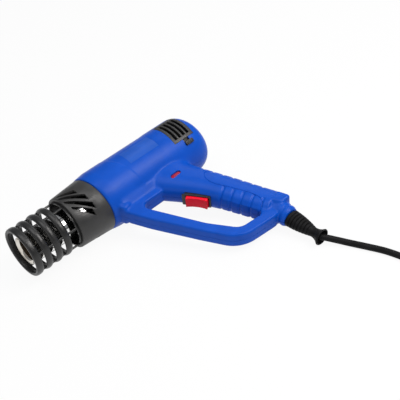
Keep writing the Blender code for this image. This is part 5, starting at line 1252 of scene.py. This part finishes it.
WIRE = metal("wire_look", (0.07, 0.05, 0.045), (0.22, 0.17, 0.14), (0.4, 0.65), 500)
IRON = metal("iron_look", (0.14, 0.14, 0.15), (0.27, 0.27, 0.28), (0.4, 0.6), 60, (40, 1, 1))
MICA = mineral("mica_look", (0.05, 0.032, 0.018), (0.15, 0.1, 0.06), (0.35, 0.6))
CERAMIC = mineral("ceramic_look", (0.16, 0.12, 0.085), (0.32, 0.26, 0.19), (0.6, 0.8), 420)
FERRITE = mineral("ferrite_look", (0.05, 0.05, 0.055), (0.09, 0.09, 0.1), (0.55, 0.75), 500)
PIN_STEEL = metal("pin_look", (0.6, 0.59, 0.57), (0.74, 0.73, 0.71), (0.12, 0.26), 200)

SLOT_LOOKS = {
    "housing_blue": BLUE, "moulded_black": BLACK, "signal_red": RED, "polished_steel": PIN_STEEL,
    "zinc_plate": ZINC, "brass": BRASS, "bronze": BRONZE, "mica": MICA, "ceramic": CERAMIC,
    "resistance_wire": WIRE, "laminated_iron": IRON, "ferrite": FERRITE, "nylon": NYLON,
    "board_green": BOARD, "rubber_black": RUBBER,
}


def dress_nodes():
    """Gives each node that stays in view the look of its material slot."""
    for part in frame["record"]["subparts"]:
        node = frame["nodes"][part["node"]]
        look = SLOT_LOOKS[part["material_slot"]]
        for material_slot in node.material_slots:
            material_slot.material = look


def build_camera():
    settings = {"lens": CAMERA_LENS, "sensor_width": 36, "clip_start": 0.01, "clip_end": 20}
    data = with_settings(bpy.data.cameras.new("camera"), **settings)
    camera = link(bpy.data.objects.new("camera", data))
    axes = (Vector(CAMERA_RIGHT), -Vector(CAMERA_DOWN), -Vector(CAMERA_FORWARD))
    turn = Matrix(axes).transposed().to_4x4()
    camera.matrix_world = TOOL @ Matrix.Translation(CAMERA_PLACE) @ turn
    bpy.context.scene.camera = camera


def area_lamp(name, spot, size, power, color):
    settings = {"size": size[0], "size_y": size[1], "energy": power, "color": color}
    data = with_settings(bpy.data.lights.new(name, "AREA"), shape="RECTANGLE", **settings)
    lamp = link(bpy.data.objects.new(name, data))
    lamp.location = spot
    lamp.rotation_mode = "QUATERNION"
    lamp.rotation_quaternion = (Vector(LAMP_TARGET) - Vector(spot)).to_track_quat("-Z", "Y")


def seen_straight(tree):
    """One for rays from the camera, through glass and off mirrors, and nothing elsewhere."""
    path = add_node(tree, "LightPath")
    seen = path.outputs["Is Camera Ray"]
    for name in ("Is Glossy Ray", "Is Transmission Ray"):
        either = add_node(tree, "Math", {0: seen, 1: path.outputs[name]}, operation="MAXIMUM")
        seen = either.outputs[0]
    return seen


def build_world():
    world = bpy.data.worlds.new("studio")
    bpy.context.scene.world = world
    world.use_nodes = True
    tree = world.node_tree
    tree.nodes.clear()
    soft = add_node(tree, "Background", {"Color": SKY_COLOR, "Strength": SKY_STRENGTH})
    white = add_node(tree, "Background", {"Color": (1, 1, 1, 1), "Strength": 1})
    seen = add_node(tree, "LightPath").outputs["Is Camera Ray"]
    mix = add_node(tree, "MixShader", {0: seen, 1: soft.outputs[0], 2: white.outputs[0]})
    add_node(tree, "OutputWorld", {"Surface": mix.outputs[0]})


def build_floor():
    """A plain white floor that keeps a faint shadow."""
    shape = bmesh.new()
    bmesh.ops.create_grid(shape, x_segments=1, y_segments=1, size=FLOOR_SIZE)
    mesh = bpy.data.meshes.new("floor")
    shape.to_mesh(mesh)
    shape.free()
    floor = link(bpy.data.objects.new("floor", mesh))
    material = bpy.data.materials.new("floor_white")
    material.use_nodes = True
    tree = material.node_tree
    shader = tree.nodes["Principled BSDF"]
    set_inputs(tree, shader, {"Base Color": FLOOR_COLOR, "Roughness": 0.9})
    glow = add_node(tree, "Emission", {"Strength": 1})
    links = {0: seen_straight(tree), 1: FLOOR_COVER}
    cover = add_node(tree, "Math", links, operation="MULTIPLY")
    links = {0: cover.outputs[0], 1: shader.outputs[0], 2: glow.outputs[0]}
    mix = add_node(tree, "MixShader", links)
    set_inputs(tree, tree.nodes["Material Output"], {"Surface": mix.outputs[0]})
    mesh.materials.append(material)


def build_lights():
    """Lamps with their places, sizes, power in watts and colours."""
    area_lamp("key", (0.38, -0.5, 0.85), (0.6, 0.5), 8.5, (1, 0.97, 0.95))
    area_lamp("front_fill", (-1, -0.3, 0.5), (0.7, 0.5), 1.2, (1, 0.98, 0.96))
    area_lamp("side_fill", (0.9, 0.5, 0.9), (0.7, 0.7), 2.2, (0.97, 0.98, 1))
    area_lamp("top_fill", (-0.15, 0.1, 1.2), (0.7, 0.7), 4, (1, 1, 1))


build_camera()
build_cord()
build_housing()
build_grilles()
build_shutter()
build_collar()
build_cage()
build_outlet_tube()
build_heating_wire()
build_switch()
build_lamp()
build_screws()
build_strain_relief()
dress_nodes()
build_world()
build_floor()
build_lights()
bpy.context.scene.view_settings.view_transform = "Standard"
for leftover in list(SCRATCH.objects):
    bpy.data.objects.remove(leftover, do_unlink=True)
